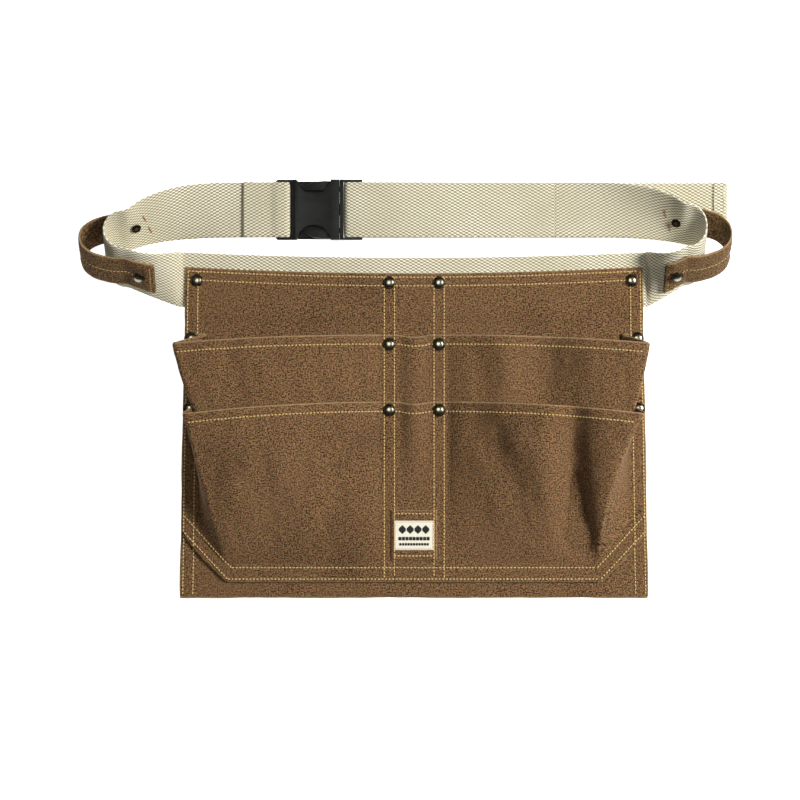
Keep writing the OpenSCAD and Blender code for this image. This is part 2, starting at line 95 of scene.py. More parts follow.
top_y = PANEL_H / 2
foot_y = FOOT - top_y
upper_y, lower_y = foot_y + UPPER_UP, foot_y + LOWER_UP
patch_y = foot_y + PATCH_UP
layer = CANVAS + SEWN_GAP
rise = WEB_T + SEWN_GAP
belt_y = top_y - TOP_DIP + 15 - WEB_W / 2
belt_up = 5.0
back_y = top_y + 53
buckle_z = BUCKLE_H / 2 + 0.6
fold_bar = BUCKLE_X + SOCKET_LEN + 9
slack_bar = BUCKLE_X - 9
wrap_r = BAR_R + 0.35 + WEB_T / 2
slack_from = 130.0
column_in, column_out = COLUMN_X - COLUMN_HALF, COLUMN_X + COLUMN_HALF


def lerp(a, b, t):
    return a + (b - a) * t


def clamp(t):
    return np.clip(t, 0.0, 1.0)


def ease(t):
    return t * t * (3 - 2 * t)


def unit(v):
    return v / np.maximum(np.linalg.norm(v, axis=-1, keepdims=True), 1e-9)


def half_width(y):
    return lerp(PANEL_BOTTOM, PANEL_TOP, (y + top_y) / PANEL_H)


belt_start = half_width(belt_y - WEB_W / 2) + 2.3


def billow(x, y, seed, size, stretch=1.0, octaves=3):
    """Smooth seeded unevenness of cloth, from about -1 to 1, longer along Y by stretch."""
    flat = np.broadcast_arrays(x, y)
    out = [
        noise.fractal(Vector((a / size, b / (size * stretch), seed * 7.3)), 0.9, 2.1, octaves)
        for a, b in zip(flat[0].ravel(), flat[1].ravel())
    ]
    return np.array(out).reshape(flat[0].shape)


def trench(x, y, start, end, width, depth):
    """A fold pressed in along a line, fading out towards both ends."""
    a, b = np.array(start, float), np.array(end, float)
    d = b - a
    t = clamp(((x - a[0]) * d[0] + (y - a[1]) * d[1]) / (d @ d))
    away = np.hypot(x - a[0] - t * d[0], y - a[1] - t * d[1])
    return -depth * np.exp(-((away / width) ** 2)) * (0.25 + 0.75 * np.sin(math.pi * clamp(0.12 + 0.8 * t)))


# ---- finishes ----


class Wire:
    """An output of a node. Arithmetic on it adds Math nodes."""

    def __init__(self, finish, socket):
        self.finish, self.socket = finish, socket

    def math(self, operation, *others):
        return self.finish.node("Math", {"operation": operation}, dict(enumerate((self, *others))))

    def __add__(self, other):
        return self.math("ADD", other)

    def __sub__(self, other):
        return self.math("SUBTRACT", other)

    def __rsub__(self, other):
        return self.finish.node("Math", {"operation": "SUBTRACT"}, {0: other, 1: self})

    def __mul__(self, other):
        return self.math("MULTIPLY", other)

    __radd__, __rmul__ = __add__, __mul__

    def sin(self):
        return self.math("SINE")

    def step(self, start, end):
        """0 below start and 1 above end, easing in between."""
        settings = {"interpolation_type": "SMOOTHSTEP"}
        return self.finish.node("MapRange", settings, {0: self, 1: start, 2: end})


class Finish:
    """A material made of one shader and the nodes that feed it."""

    def __init__(self, name, **shader):
        self.material = bpy.data.materials.new(name)
        self.material.use_nodes = True
        self.tree = self.material.node_tree
        self.tree.nodes.clear()
        self.shader = self.tree.nodes.new("ShaderNodeBsdfPrincipled")
        out = self.tree.nodes.new("ShaderNodeOutputMaterial")
        self.tree.links.new(self.shader.outputs[0], out.inputs[0])
        for socket, value in shader.items():
            self.feed(self.shader.inputs[socket.replace("_", " ")], value)

    def feed(self, socket, value):
        if isinstance(value, Wire):
            self.tree.links.new(value.socket, socket)
        else:
            socket.default_value = value

    def node(self, kind, settings=None, inputs=None, output=0):
        made = self.tree.nodes.new("ShaderNode" + kind)
        for key, value in (settings or {}).items():
            setattr(made, key, value)
        for key, value in (inputs or {}).items():
            self.feed(made.inputs[key], value)
        return Wire(self, made.outputs[output])

    def carried(self, name, output="Vector"):
        """A value that the mesh carries at its points."""
        return self.node("Attribute", {"attribute_name": name}, output=output)

    def split(self, vector):
        made = self.node("SeparateXYZ", inputs={0: vector})
        sockets = made.socket.node.outputs
        return [Wire(self, sockets[k]) for k in range(3)]

    def grain(self, vector, size, detail=2.0, stretch=(1, 1, 1), rough=0.5):
        """Noise from 0 to 1 whose spots are about size across."""
        scaled = self.node(
            "VectorMath", {"operation": "MULTIPLY"}, {0: vector, 1: [k / size for k in stretch]}
        )
        return self.node(
            "TexNoise", inputs={"Vector": scaled, "Scale": 1.0, "Detail": detail, "Roughness": rough}
        )

    def blend(self, low, high, factor):
        """One colour going over into another."""
        settings = {"data_type": "RGBA", "clamp_factor": True}
        return self.node("Mix", settings, {0: factor, 6: low, 7: high}, output=2)

    def finish(self, color=None, roughness=None, height=None, depth=0.2, strength=0.7):
        """Feeds the shader; height is in units of depth, which is in mm."""
        if color is not None:
            self.feed(self.shader.inputs["Base Color"], color)
        if roughness is not None:
            self.feed(self.shader.inputs["Roughness"], roughness)
        if height is not None:
            bump = self.node(
                "Bump", inputs={"Strength": strength, "Distance": depth * MM, "Height": height}
            )
            self.feed(self.shader.inputs["Normal"], bump)
        return self.material


def tone(red, green, blue):
    """A colour given as it looks, from 0 to 255, in the shader's linear values."""

    def linear(c):
        c /= 255
        return c / 12.92 if c <= 0.04045 else ((c + 0.055) / 1.055) ** 2.4

    return (linear(red), linear(green), linear(blue), 1.0)


TAU = 2 * math.pi


def canvas_finish(name, dark, light, faded, twill_pitch=1.3):
    """Heavy washed canvas: speckled yarns, a fine slant, broad fading and pale worn edges."""
    f = Finish(name, Roughness=0.9, Sheen_Weight=0.03, Sheen_Roughness=0.5, Specular_IOR_Level=0.1)
    cloth = f.carried("cloth")
    u, v, _ = f.split(cloth)
    speck = f.grain(cloth, 1.35, 1.0, rough=0.6)
    slub = f.grain(cloth, 1.4, 1.5, (0.3, 1.4, 1))
    cross = f.grain(cloth, 1.4, 1.5, (1.4, 0.28, 1))
    fade = f.grain(cloth, 62, 3.0, (1, 0.7, 1))
    patch = f.grain(cloth, 15, 2.0)
    twill = ((u + v * 0.62) * (TAU / twill_pitch)).sin() * 0.5 + 0.5
    yarn = (v * (TAU / 0.72)).sin() * 0.5 + 0.5
    wear = f.carried("wear", "Fac")
    mark = speck.step(0.36, 0.64) * 0.82 + slub.step(0.36, 0.64) * 0.28 + cross.step(0.36, 0.64) * 0.2
    mark = mark + twill * 0.12 - 0.24
    dye = f.grain(cloth, 3.4, 1.0).step(0.34, 0.66)
    casts = ((1.08, 0.92, 0.98, 1), (0.92, 1.07, 0.82, 1))
    red, olive = ([c * k for c, k in zip(light, cast)] for cast in casts)
    color = f.blend(dark, f.blend(red, olive, dye), mark)
    color = f.blend(color, faded, fade.step(0.38, 0.74) * 0.34 + patch.step(0.4, 0.8) * 0.16)
    color = f.blend(color, tone(44, 28, 17), (1 - fade.step(0.22, 0.5)) * 0.34)
    color = f.blend(color, tone(170, 144, 104), wear.step(0.25, 1.0) * (0.4 + slub * 0.5))
    height = twill * 0.3 + yarn * 0.35 + speck * 0.75 + slub * 0.3
    return f.finish(color, 0.80 + speck * 0.14, height, 0.32, 0.9)


def webbing_finish(name):
    """Thick cotton webbing: short ribs in staggered rows, with shade painted dark olive between them and
    their crowns painted pale as if lit.
    """
    f = Finish(name, Roughness=0.88, Sheen_Weight=0.05, Sheen_Roughness=0.5, Specular_IOR_Level=0.15)
    cloth = f.carried("cloth")
    u, v, _ = f.split(cloth)
    drift = f.grain(cloth, 9, 2.0)
    soft = f.grain(cloth, 0.8, 2.0, (0.7, 1.3, 1))
    cell = (u + drift * 1.2) * (TAU / WEAVE_CELL)
    row = (v + drift * 0.5) * (TAU / WEAVE_ROW)
    rib = (cell.sin() * row.sin()) * 0.42 + (cell + row).sin() * 0.14 + 0.5
    crown = rib.step(0.36, 0.66)
    fade = f.grain(cloth, 70, 2.0)
    wear = f.carried("wear", "Fac")
    # painted shade: the dark olive is shade painted into the hollows between the ribs, and the crowns are
    # painted pale as if lit
    painted_crevice_shade = f.blend(tone(116, 108, 74), tone(160, 152, 118), soft.step(0.25, 0.75))
    color = f.blend(painted_crevice_shade, tone(240, 235, 217), crown * (0.7 + soft * 0.5))
    color = f.blend(color, tone(160, 152, 112), fade.step(0.35, 0.7) * 0.25)
    color = f.blend(color, tone(240, 236, 222), wear.step(0.2, 1.0) * 0.55)
    return f.finish(color, 0.82 + soft * 0.12, crown * 0.85 + soft * 0.25, 0.5, 0.8)


def thread_finish(name, dark, light):
    f = Finish(name, Roughness=0.62, Specular_IOR_Level=0.35, Sheen_Weight=0.15)
    cloth = f.carried("cloth")
    u, v, _ = f.split(cloth)
    ply = ((u * 1.0 + v * 1.4) * (TAU / 0.55)).sin() * 0.5 + 0.5
    along = f.grain(cloth, 6, 2.0)
    color = f.blend(dark, light, ply * 0.55 + along * 0.55)
    return f.finish(color, 0.5 + ply * 0.2, ply, 0.12, 0.8)


def label_finish(name):
    """Close plain weave, slightly glossy, with a faint crosswise rib."""
    f = Finish(name, Roughness=0.6, Sheen_Weight=0.15, Specular_IOR_Level=0.35)
    cloth = f.carried("cloth")
    u, v, _ = f.split(cloth)
    weave = ((u * (TAU / 0.5)).sin() * (v * (TAU / 0.4)).sin()) * 0.5 + 0.5
    soft = f.grain(cloth, 2.5, 2.0)
    color = f.blend(tone(208, 203, 180), tone(244, 241, 226), weave * 0.5 + soft * 0.6)
    color = f.blend(color, tone(190, 172, 124), f.carried("wear", "Fac") * 0.6)
    return f.finish(color, 0.55 + soft * 0.2, weave, 0.1, 0.6)


def rivet_finish(name):
    """Dark oxidised metal, rubbed bright where it is high; that pale top is partly worn metal and partly the
    dome's highlight painted in.
    """
    f = Finish(name, Metallic=1.0, Roughness=0.26)
    cloth = f.carried("cloth")
    spots = f.grain(cloth, 1.6, 3.0)
    fine = f.grain(cloth, 0.35, 2.0)
    high = f.carried("wear", "Fac")
    rubbed = high.step(0.55, 1.0)
    color = f.blend(tone(30, 26, 21), tone(70, 62, 48), spots.step(0.35, 0.7))
    # partly painted highlight: the pale colour on the dome's top is partly worn metal and partly a highlight
    # painted in
    color = f.blend(color, tone(196, 188, 160), rubbed * (0.3 + spots * 0.5))
    return f.finish(color, 0.26 - rubbed * 0.1 + fine * 0.12, spots * 0.6 + fine * 0.4, 0.05, 0.5)


def plastic_finish(name):
    """Moulded black acetal with a fine spark texture and handling marks."""
    f = Finish(name, Specular_IOR_Level=0.22)
    place = f.node("TexCoord", output="Object")
    fine = f.grain(place, 0.35 * MM, 2.0)
    smear = f.grain(place, 9 * MM, 3.0, (1, 2.2, 1))
    scuff = f.grain(place, 2.2 * MM, 4.0, (1, 5, 1))
    color = f.blend(tone(9, 10, 8), tone(20, 22, 17), smear.step(0.3, 0.7))
    color = f.blend(color, tone(50, 53, 45), scuff.step(0.66, 0.8) * 0.2)
    rough = 0.34 + smear * 0.14 + fine * 0.12
    return f.finish(color, rough, fine, 0.04, 0.55)


canvas = canvas_finish("washed brown canvas", tone(30, 16, 12), tone(148, 114, 81), tone(108, 81, 56))
strap_canvas = canvas_finish(
    "folded canvas strap", tone(28, 15, 8), tone(138, 108, 74), tone(100, 77, 52), 1.5
)
webbing = webbing_finish("cotton webbing")
gold = thread_finish("golden thread", tone(168, 134, 70), tone(236, 206, 136))
rust = thread_finish("rust thread", tone(134, 82, 38), tone(190, 128, 70))
cream = thread_finish("cream thread", tone(196, 188, 156), tone(238, 232, 208))
ink = thread_finish("dark brown thread", tone(10, 9, 8), tone(34, 30, 25))
woven_label = label_finish("woven label")
rivet_metal = rivet_finish("oxidised rivet metal")
plastic = plastic_finish("black moulded plastic")

# ---- meshes ----


def piece(name, points, faces, finish, cloth=None, wear=None):
    """A smooth mesh from points in mm, carrying its cloth coordinates and its wear."""
    mesh = bpy.data.meshes.new(name)
    mesh.from_pydata((np.asarray(points, float) * MM).tolist(), [], [list(map(int, f)) for f in faces])
    mesh.materials.append(finish)
    mesh.polygons.foreach_set("use_smooth", [True] * len(mesh.polygons))
    carried = mesh.attributes.new("cloth", "FLOAT_VECTOR", "POINT")
    spots = np.zeros((len(points), 3), np.float32)
    spots[:] = points if cloth is None else cloth
    carried.data.foreach_set("vector", spots.ravel())
    worn = mesh.attributes.new("wear", "FLOAT", "POINT")
    worn.data.foreach_set("value", np.zeros(len(points), np.float32) if wear is None else
                          np.asarray(wear, np.float32).ravel())
    mesh.update()
    made = bpy.data.objects.new(name, mesh)
    bpy.context.scene.collection.objects.link(made)
    return made


def slab(name, top, under, finish, cloth, wear=None, lip=0.35):
    """A sheet between two matching grids of points, closed by a rounded rim."""
    m, n, _ = top.shape
    k = m * n
    index = np.arange(k).reshape(m, n)
    loop = np.concatenate([index[0, :-1], index[:-1, -1], index[-1, :0:-1], index[:0:-1, 0]])
    inner = np.concatenate([
        index[np.full(n - 1, 1), np.arange(n - 1)], index[np.arange(m - 1), np.full(m - 1, n - 2)],
        index[np.full(n - 1, m - 2), np.arange(n - 1, 0, -1)],
        index[np.arange(m - 1, 0, -1), np.full(m - 1, 1)]])
    tops, unders = top.reshape(-1, 3), under.reshape(-1, 3)
    middle = (tops + unders) / 2
    thick = np.linalg.norm(tops[loop] - unders[loop], axis=1)[:, None]
    edge = middle[loop] + unit(middle[loop] - middle[inner]) * thick * lip
    quads = np.stack([index[:-1, :-1], index[1:, :-1], index[1:, 1:], index[:-1, 1:]], -1).reshape(-1, 4)
    a, b = loop, np.roll(loop, -1)
    e = 2 * k + np.arange(len(loop))
    f = np.roll(e, -1)
    rim = np.concatenate([np.stack([a, b, f, e], 1), np.stack([e, f, b + k, a + k], 1)])
    faces = np.concatenate([quads, quads[:, ::-1] + k, rim])
    mid = quads[len(quads) // 2]
    facing = np.cross(tops[mid[1]] - tops[mid[0]], tops[mid[3]] - tops[mid[0]])
    if facing @ (tops[mid[0]] - unders[mid[0]]) < 0:
        faces = faces[:, ::-1]
    flat = cloth.reshape(-1, 2)
    spots = np.concatenate([flat, flat, flat[loop]])
    spots = np.column_stack([spots, np.concatenate([np.zeros(k), np.full(k, 40.0), np.zeros(len(loop))])])
    worn = np.zeros(k) if wear is None else wear.ravel()
    worn = np.concatenate([worn, worn * 0.7, np.minimum(1, worn[loop] + 0.3)])
    return piece(name, np.concatenate([tops, unders, edge]), faces, finish, spots, worn)


def grid_normals(grid):
    """Unit normals of a grid of points, on its upper side."""
    across = np.gradient(grid, axis=1)
    down = np.gradient(grid, axis=0)
    return unit(np.cross(down, across))


def cloth_lengths(grid):
    """How far each point is along its row and its column, in mm of cloth."""
    rows = np.linalg.norm(np.diff(grid, axis=1), axis=2)
    columns = np.linalg.norm(np.diff(grid, axis=0), axis=2)
    u = np.concatenate([np.zeros((grid.shape[0], 1)), np.cumsum(rows, 1)], 1)
    u -= u[:, [u.shape[1] // 2]]
    v = np.concatenate([np.zeros((1, grid.shape[1])), np.cumsum(columns, 0)], 0)
    return u, v


def declare(grid):
    """Works out a sheet's cloth lengths and its area; nothing is done with them."""
    u, v = cloth_lengths(grid)
    a, b, c, d = grid[:-1, :-1], grid[1:, :-1], grid[1:, 1:], grid[:-1, 1:]
    area = 0.5 * np.linalg.norm(np.cross(c - a, d - b), axis=2).sum()


def belongs(made, body, slot, *nodes):
    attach(made, body)
    if nodes:
        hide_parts(*nodes)
    return made


def surface_of(*made):
    """What a needle coming straight down meets: a tree over the pieces' faces, in mm."""
    points, faces = [], []
    for o in made:
        base = len(points)
        points += [tuple(v.co / MM) for v in o.data.vertices]
        faces += [[base + k for k in p.vertices] for p in o.data.polygons]
    return BVHTree.FromPolygons(points, faces)


def drop(tree, x, y, below=200.0):
    """The point and normal that a needle at x, y meets below a height."""
    hit, normal, _, _ = tree.ray_cast(Vector((x, y, below)), Vector((0, 0, -1)))
    return (None, None) if hit is None else (np.array(hit), np.array(normal))


# ---- thread ----

STITCH_RINGS = [(-0.5, 0.10, -0.55), (-0.40, 0.72, -0.12), (-0.2, 1.0, 0.12), (0.0, 1.0, 0.2),
                (0.2, 1.0, 0.12), (0.40, 0.72, -0.12), (0.5, 0.10, -0.55)]
STITCH_SIDES = 7


class Thread:
    """Gathers stitches, each a short fat arc of thread, into one piece."""

    def __init__(self):
        self.points, self.faces, self.cloth, self.count = [], [], [], 0

    def stitch(self, at, along, normal, length, radius):
        along = unit(along - (along @ normal) * normal)
        side = np.cross(normal, along)
        base = len(self.points)
        for s, r, lift in STITCH_RINGS:
            for k in range(STITCH_SIDES):
                a = TAU * k / STITCH_SIDES
                self.points.append(at + along * (s * length) + side * (math.cos(a) * r * radius)
                                   + normal * (radius * (lift + 0.45 + 0.75 * r * math.sin(a))))
                self.cloth.append((s * length + self.count * 3.1, a * radius, 0))
        for j in range(len(STITCH_RINGS) - 1):
            for k in range(STITCH_SIDES):
                a, b = base + j * STITCH_SIDES + k, base + j * STITCH_SIDES + (k + 1) % STITCH_SIDES
                self.faces.append((a, b, b + STITCH_SIDES, a + STITCH_SIDES))
        last = base + (len(STITCH_RINGS) - 1) * STITCH_SIDES
        self.faces.append(tuple(range(base + STITCH_SIDES - 1, base - 1, -1)))
        self.faces.append(tuple(range(last, last + STITCH_SIDES)))
        self.count += 1

    def row(self, at, normals, pitch=3.3, length=2.6, radius=0.62):
        """A row of stitches along points that lie on a surface."""
        at, normals = np.array(at, float), np.array(normals, float)
        s = np.concatenate([[0], np.cumsum(np.linalg.norm(np.diff(at, axis=0), axis=1))])
        for k in range(int((s[-1] - length) // pitch) + 1):
            here = length / 2 + pitch * k
            p = np.array([np.interp(here, s, at[:, i]) for i in range(3)])
            q = np.array([np.interp(here + 0.8, s, at[:, i]) for i in range(3)])
            o = np.array([np.interp(here - 0.8, s, at[:, i]) for i in range(3)])
            n = unit(np.array([np.interp(here, s, normals[:, i]) for i in range(3)]))
            if np.linalg.norm(q - o) > 0.2:
                self.stitch(p, q - o, n, length, radius)

    def sew(self, tree, line, top=200.0, **kind):
        """A row along a line in plan, on whatever lies uppermost, broken where that stands above top."""
        line = np.array(line, float)
        s = np.concatenate([[0], np.cumsum(np.linalg.norm(np.diff(line, axis=0), axis=1))])
        run = []
        for here in np.arange(0, s[-1] + 0.01, 1.0):
            x, y = (np.interp(here, s, line[:, i]) for i in range(2))
            hit, normal = drop(tree, x, y)
            broken = hit is None or hit[2] > top or (run and abs(hit[2] - run[-1][0][2]) > 2.2)
            if broken and len(run) > 3:
                self.row([r[0] for r in run], [r[1] for r in run], **kind)
            if broken:
                run = []
            if hit is not None and hit[2] <= top:
                run.append((hit, normal))
        if len(run) > 3:
            self.row([r[0] for r in run], [r[1] for r in run], **kind)

    def piece(self, name, finish, body="apron"):
        made = piece(name, self.points, self.faces, finish, self.cloth)
        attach(made, body)
        return made


# ---- the back panel ----


def panel_z(y):
    return lerp(0.0, rise, clamp((y - 100.5) / 9))


def top_edge(x):
    return top_y - TOP_DIP * (1 - (x / PANEL_TOP) ** 2)


def back_panel():
    rows = np.concatenate([np.linspace(0, 0.02, 4), np.linspace(0.03, 0.96, 96), np.linspace(0.968, 1, 8)])
    across = np.concatenate([np.linspace(-1, -0.985, 4), np.linspace(-0.975, 0.975, 130),
                             np.linspace(0.985, 1, 4)])
    v, s = np.meshgrid(rows, across, indexing="ij")
    x0 = s * PANEL_TOP
    y = lerp(top_edge(x0), -top_y, v)
    x = s * half_width(y)
    sway = billow(y * 0 + 3, y, 4, 46) * np.abs(s) ** 6 * 0.9
    x = x + np.sign(s) * sway * (np.abs(s) > 0.5)
    y = y + billow(x, y * 0 + 1, 9, 52) * v ** 12 * 0.8
    side = half_width(y) - np.abs(x)
    down = top_edge(x) - y
    free = clamp((foot_y - y) / 8)
    ripple = 0.75 * (1 + billow(x, y, 2, 34)) * free
    ripple += 0.30 * (1 + billow(x, y, 5, 46)) * clamp((y - upper_y) / 12) * clamp(down / 25)
    hem = 0.35 * (clamp((HEM + 2.5 - side) / 2) + clamp((HEM + 2.5 - down) / 2)).clip(0, 1)
    pinch = 0.28 * (sum(np.exp(-((side - seam) / 1.1) ** 2) for seam in SIDE_SEAMS)
                    + np.exp(-((down - 3) / 1.1) ** 2) + np.exp(-((down - HEM) / 1.1) ** 2))
    under = np.stack([x, y, panel_z(y) + ripple], -1)
    top = under + np.stack([x * 0, x * 0, CANVAS + hem - pinch], -1)
    wear = np.exp(-side / 0.9) * 0.75 + np.exp(-down / 0.9) * 0.6 + np.exp(-(y + top_y) / 0.9) * 0.7
    wear = wear + 0.22 * np.exp(-((down - 7) / 2.5) ** 2) * (1 + billow(x, y, 6, 9))
    u, w = cloth_lengths(under)
    made = slab("back_panel_cloth", top, under, canvas, np.stack([u + 700, w], -1), wear)
    declare(under)
    return belongs(made, "apron", "canvas", "back_panel")


# ---- the pockets ----

lower_corner, upper_corner = lower_y - 10.5, upper_y - 8
FLAT_FROM = 0.89
UPPER_FLARE = {-1: 8.5, 1: 2.5}
LOWER_DRAW = {-1: 2.5, 1: 14.0}
# Folds as start, end, width and depth; one with a depth below 0 stands out.
LOWER_FOLDS = [((143, 22), (148, -124), 15, 17), ((150, -50), (162, -132), 9, 9),
               ((54, 22), (104, -76), 15, 3.0), ((84, 16), (126, -60), 16, -2.6),
               ((50, -44), (72, -118), 13, 1.8), ((-96, 10), (-100, -60), 20, 2.4),
               ((-150, 0), (-128, -100), 16, 2.0), ((-60, -20), (-84, -110), 14, 1.8)]
UPPER_FOLDS = [((122, 96), (118, 6), 30, 13.0), ((52, 90), (62, 30), 10, 3.6),
               ((84, 84), (92, 30), 14, -2.5), ((-96, 84), (-90, 36), 14, 2.0),
               ((-170, 80), (-166, 26), 10, 2.0)]


def lower_crease(y, side):
    t = clamp((lower_corner - y) / (lower_corner - foot_y - 16))
    plain = lerp(half_width(lower_corner) - 4, PANEL_BOTTOM - CUT_X, t) + 2.5 * np.sin(math.pi * t)
    return plain - LOWER_DRAW[side] * np.maximum(0, np.sin(math.pi * t)) ** 0.6


def upper_crease(y, side):
    t = clamp((upper_corner - y) / (upper_corner - lower_corner))
    start = half_width(upper_corner) + UPPER_FLARE[side]
    above = lerp(start, lower_crease(lower_corner, side) - 9, t ** 1.3)
    return np.where(y > lower_corner, above, lower_crease(y, side) - 9)


def cut_y(x):
    return foot_y + (x - PANEL_BOTTOM + CUT_X) * CUT_Y / CUT_X


class Pocket:
    """One tier of pockets, from side seam to side seam, as a grid of points on its inner face."""

    def __init__(self, lower):
        self.lower = lower
        self.mouth, self.corner = (lower_y, lower_corner) if lower else (upper_y, upper_corner)
        self.depth, self.bow = (44.0, 5.0) if lower else (26.0, 3.0)
        self.base = 2 * layer if lower else layer
        self.crease = lower_crease if lower else upper_crease
        self.v = np.concatenate([np.linspace(0, 0.11, 16), np.linspace(0.125, FLAT_FROM, 62),
                                 np.linspace(0.90, 1, 10)])
        mirrored = self.half(-1)[:, :0:-1] * np.array([-1, 1, 1])
        self.middle = mirrored.shape[1]
        self.grid = np.concatenate([mirrored, self.half(1)], 1)

    def half(self, side):
        """From the middle out to one side seam, drawn to the right."""
        slot = [self.slot(s) for s in np.linspace(0, 1, 8)]
        strip = [self.strip(x) for x in np.linspace(column_in, column_out, 8)[1:]]
        bend = 1 - (1 - np.linspace(0, 1, 74)[1:]) ** 1.15
        face = [self.face(q, side) for q in bend]
        self.face_from, self.fold_at = len(slot) + len(strip), len(slot) + len(strip) + len(face) - 1
        gusset = [self.gusset(g, side) for g in np.linspace(1, 0, 17)[1:]]
        rim = [self.rim(t, side) for t in (0.35, 0.7, 1)]
        return self.soften(np.stack([np.stack(c, -1) for c in slot + strip + face + gusset + rim], 1))

    def slot(self, s):
        y = lerp(self.mouth - 2 * (1 - s ** 2), foot_y, self.v)
        patch_top = patch_y + PATCH_H / 2 + 8
        k = clamp((y - patch_top) / (self.mouth - patch_top))
        return [y * 0 + s * column_in, y, self.base + self.bow * ease(k) * (1 - s * s) ** 1.8]

    def strip(self, x):
        y = lerp(self.mouth, foot_y, self.v)
        return [y * 0 + x, y, y * 0 + self.base]

    def face(self, q, side):
        y = lerp(self.mouth - (self.mouth - self.corner) * q * q, foot_y, self.v)
        opened = 1 - np.minimum(1, self.v / FLAT_FROM) ** 1.5
        z = self.base + self.depth * opened * math.sin(math.pi / 2 * q) ** 0.85
        return [lerp(column_out, self.crease(y, side), q), y, z]

    def gusset(self, g, side):
        v, in_x = self.v, PANEL_BOTTOM - (18.5 if self.lower else 23)
        opened = 1 - np.minimum(1, v / FLAT_FROM) ** 1.5
        y_fold = lerp(self.corner, foot_y, v)
        y = lerp(lerp(self.corner + 9, cut_y(in_x), v), y_fold, g)
        x = lerp(in_x + half_width(y) - PANEL_BOTTOM + 3 * v, self.crease(y_fold, side), g)
        x = x + (3 if self.lower else 1) * opened * math.sin(math.pi * g)
        return [x, y, self.base + self.depth * opened * g]

    def rim(self, t, side):
        inner = self.gusset(0, side)
        y = lerp(self.corner + 9, cut_y(PANEL_BOTTOM), self.v)
        outer = [half_width(y) - 1, y, y * 0 + self.base]
        return [lerp(a, b, t) for a, b in zip(inner, outer)]

    def soften(self, half):
        """Rounds the pressed crease and the gusset's foot."""
        eased = half.copy()
        for _ in range(3):
            shift = (eased[:, :-2] + eased[:, 2:]) / 2 - eased[:, 1:-1]
            weight = np.zeros(half.shape[1])
            weight[self.fold_at - 1:self.fold_at + 2] = 0.4
            weight[self.fold_at + 13:self.fold_at + 18] = 0.3
            eased[:, 1:-1] += shift * weight[1:-1][None, :, None]
        return eased

    def wrinkles(self, x, y, z):
        """How far the worn cloth swells out of its plain shape, in mm."""
        lift = clamp((z - self.base) / 9) * clamp((self.mouth + 1 - y) / 30 + 0.25)
        near = clamp((np.abs(x) - column_out) / 14) * clamp((y - foot_y - 10) / 16)
        soft = 1.5 * billow(x, y, 11 + self.lower, 30, 1.9) + 0.7 * billow(x, y, 23 + self.lower, 11, 1.6)
        folds = sum(trench(x, y, *fold) for fold in (LOWER_FOLDS if self.lower else UPPER_FOLDS))
        return (soft * lift + folds * clamp((z - self.base) / 10)) * near + 0.12 * billow(x, y, 31, 5) * near

    def make(self, name, *nodes):
        grid = self.grid
        normals = grid_normals(grid)
        columns = np.abs(np.arange(grid.shape[1]) - self.middle)
        upright = (columns >= self.fold_at + 17)[None, :, None] | (columns <= self.face_from)[None, :, None]
        normals = unit(np.where(upright, normals * [0.2, 0.2, 1], normals))
        x, y, z = (grid[..., k] for k in range(3))
        on_face = columns < self.fold_at - 1
        swell = self.wrinkles(x, y, z) * np.where(on_face, 1.0, 0.35)[None, :]
        grid = grid + normals * swell[..., None]
        normals = grid_normals(grid)
        normals = unit(np.where(upright, normals * [0.2, 0.2, 1], normals))
        _, down = cloth_lengths(grid)
        up = down[-1][None, :] - down
        hem = clamp((HEM + 1.5 - down) / 1.5)
        pinch = np.exp(-(down - MOUTH_SEAM) ** 2) + sum(np.exp(-(up - seam) ** 2) for seam in FOOT_SEAMS)
        for edge in COLUMN_SEAMS:
            for side in (-1, 1):
                pinch = pinch + np.exp(-(x - side * COLUMN_X - edge) ** 2)
        thick = CANVAS + 0.45 * hem * clamp(down / 1.2 + 0.4) - 0.26 * np.minimum(pinch, 1)
        top = grid + normals * thick[..., None]
        turned = 0.5 * hem * clamp(down / 1.5)
        under = grid - normals * turned[..., None] * (columns < self.fold_at)[None, :, None]
        wear = np.exp(-down / 0.5) * 0.9 + 0.22 * np.exp(-((down - 5) / 2.5) ** 2) * (1 + billow(x, y, 41, 8))
        crease = np.exp(-((columns - self.fold_at) / 0.7) ** 2)[None, :] * clamp((z - self.base) / 6)
        wear = wear + crease * (0.5 + 0.3 * billow(x, y, 43, 10)) + np.exp(-up / 0.6) * 0.6
        u, w = cloth_lengths(grid)
        offset = 1400 if self.lower else 2200
        made = slab(name, top, under, canvas, np.stack([u + offset, w], -1), wear)
        declare(grid)
        return belongs(made, "apron", "canvas", *nodes)


# ---- straps ----

ARC_STEPS, FRONT_STEPS, BACK_STEPS = 8, 6, 9


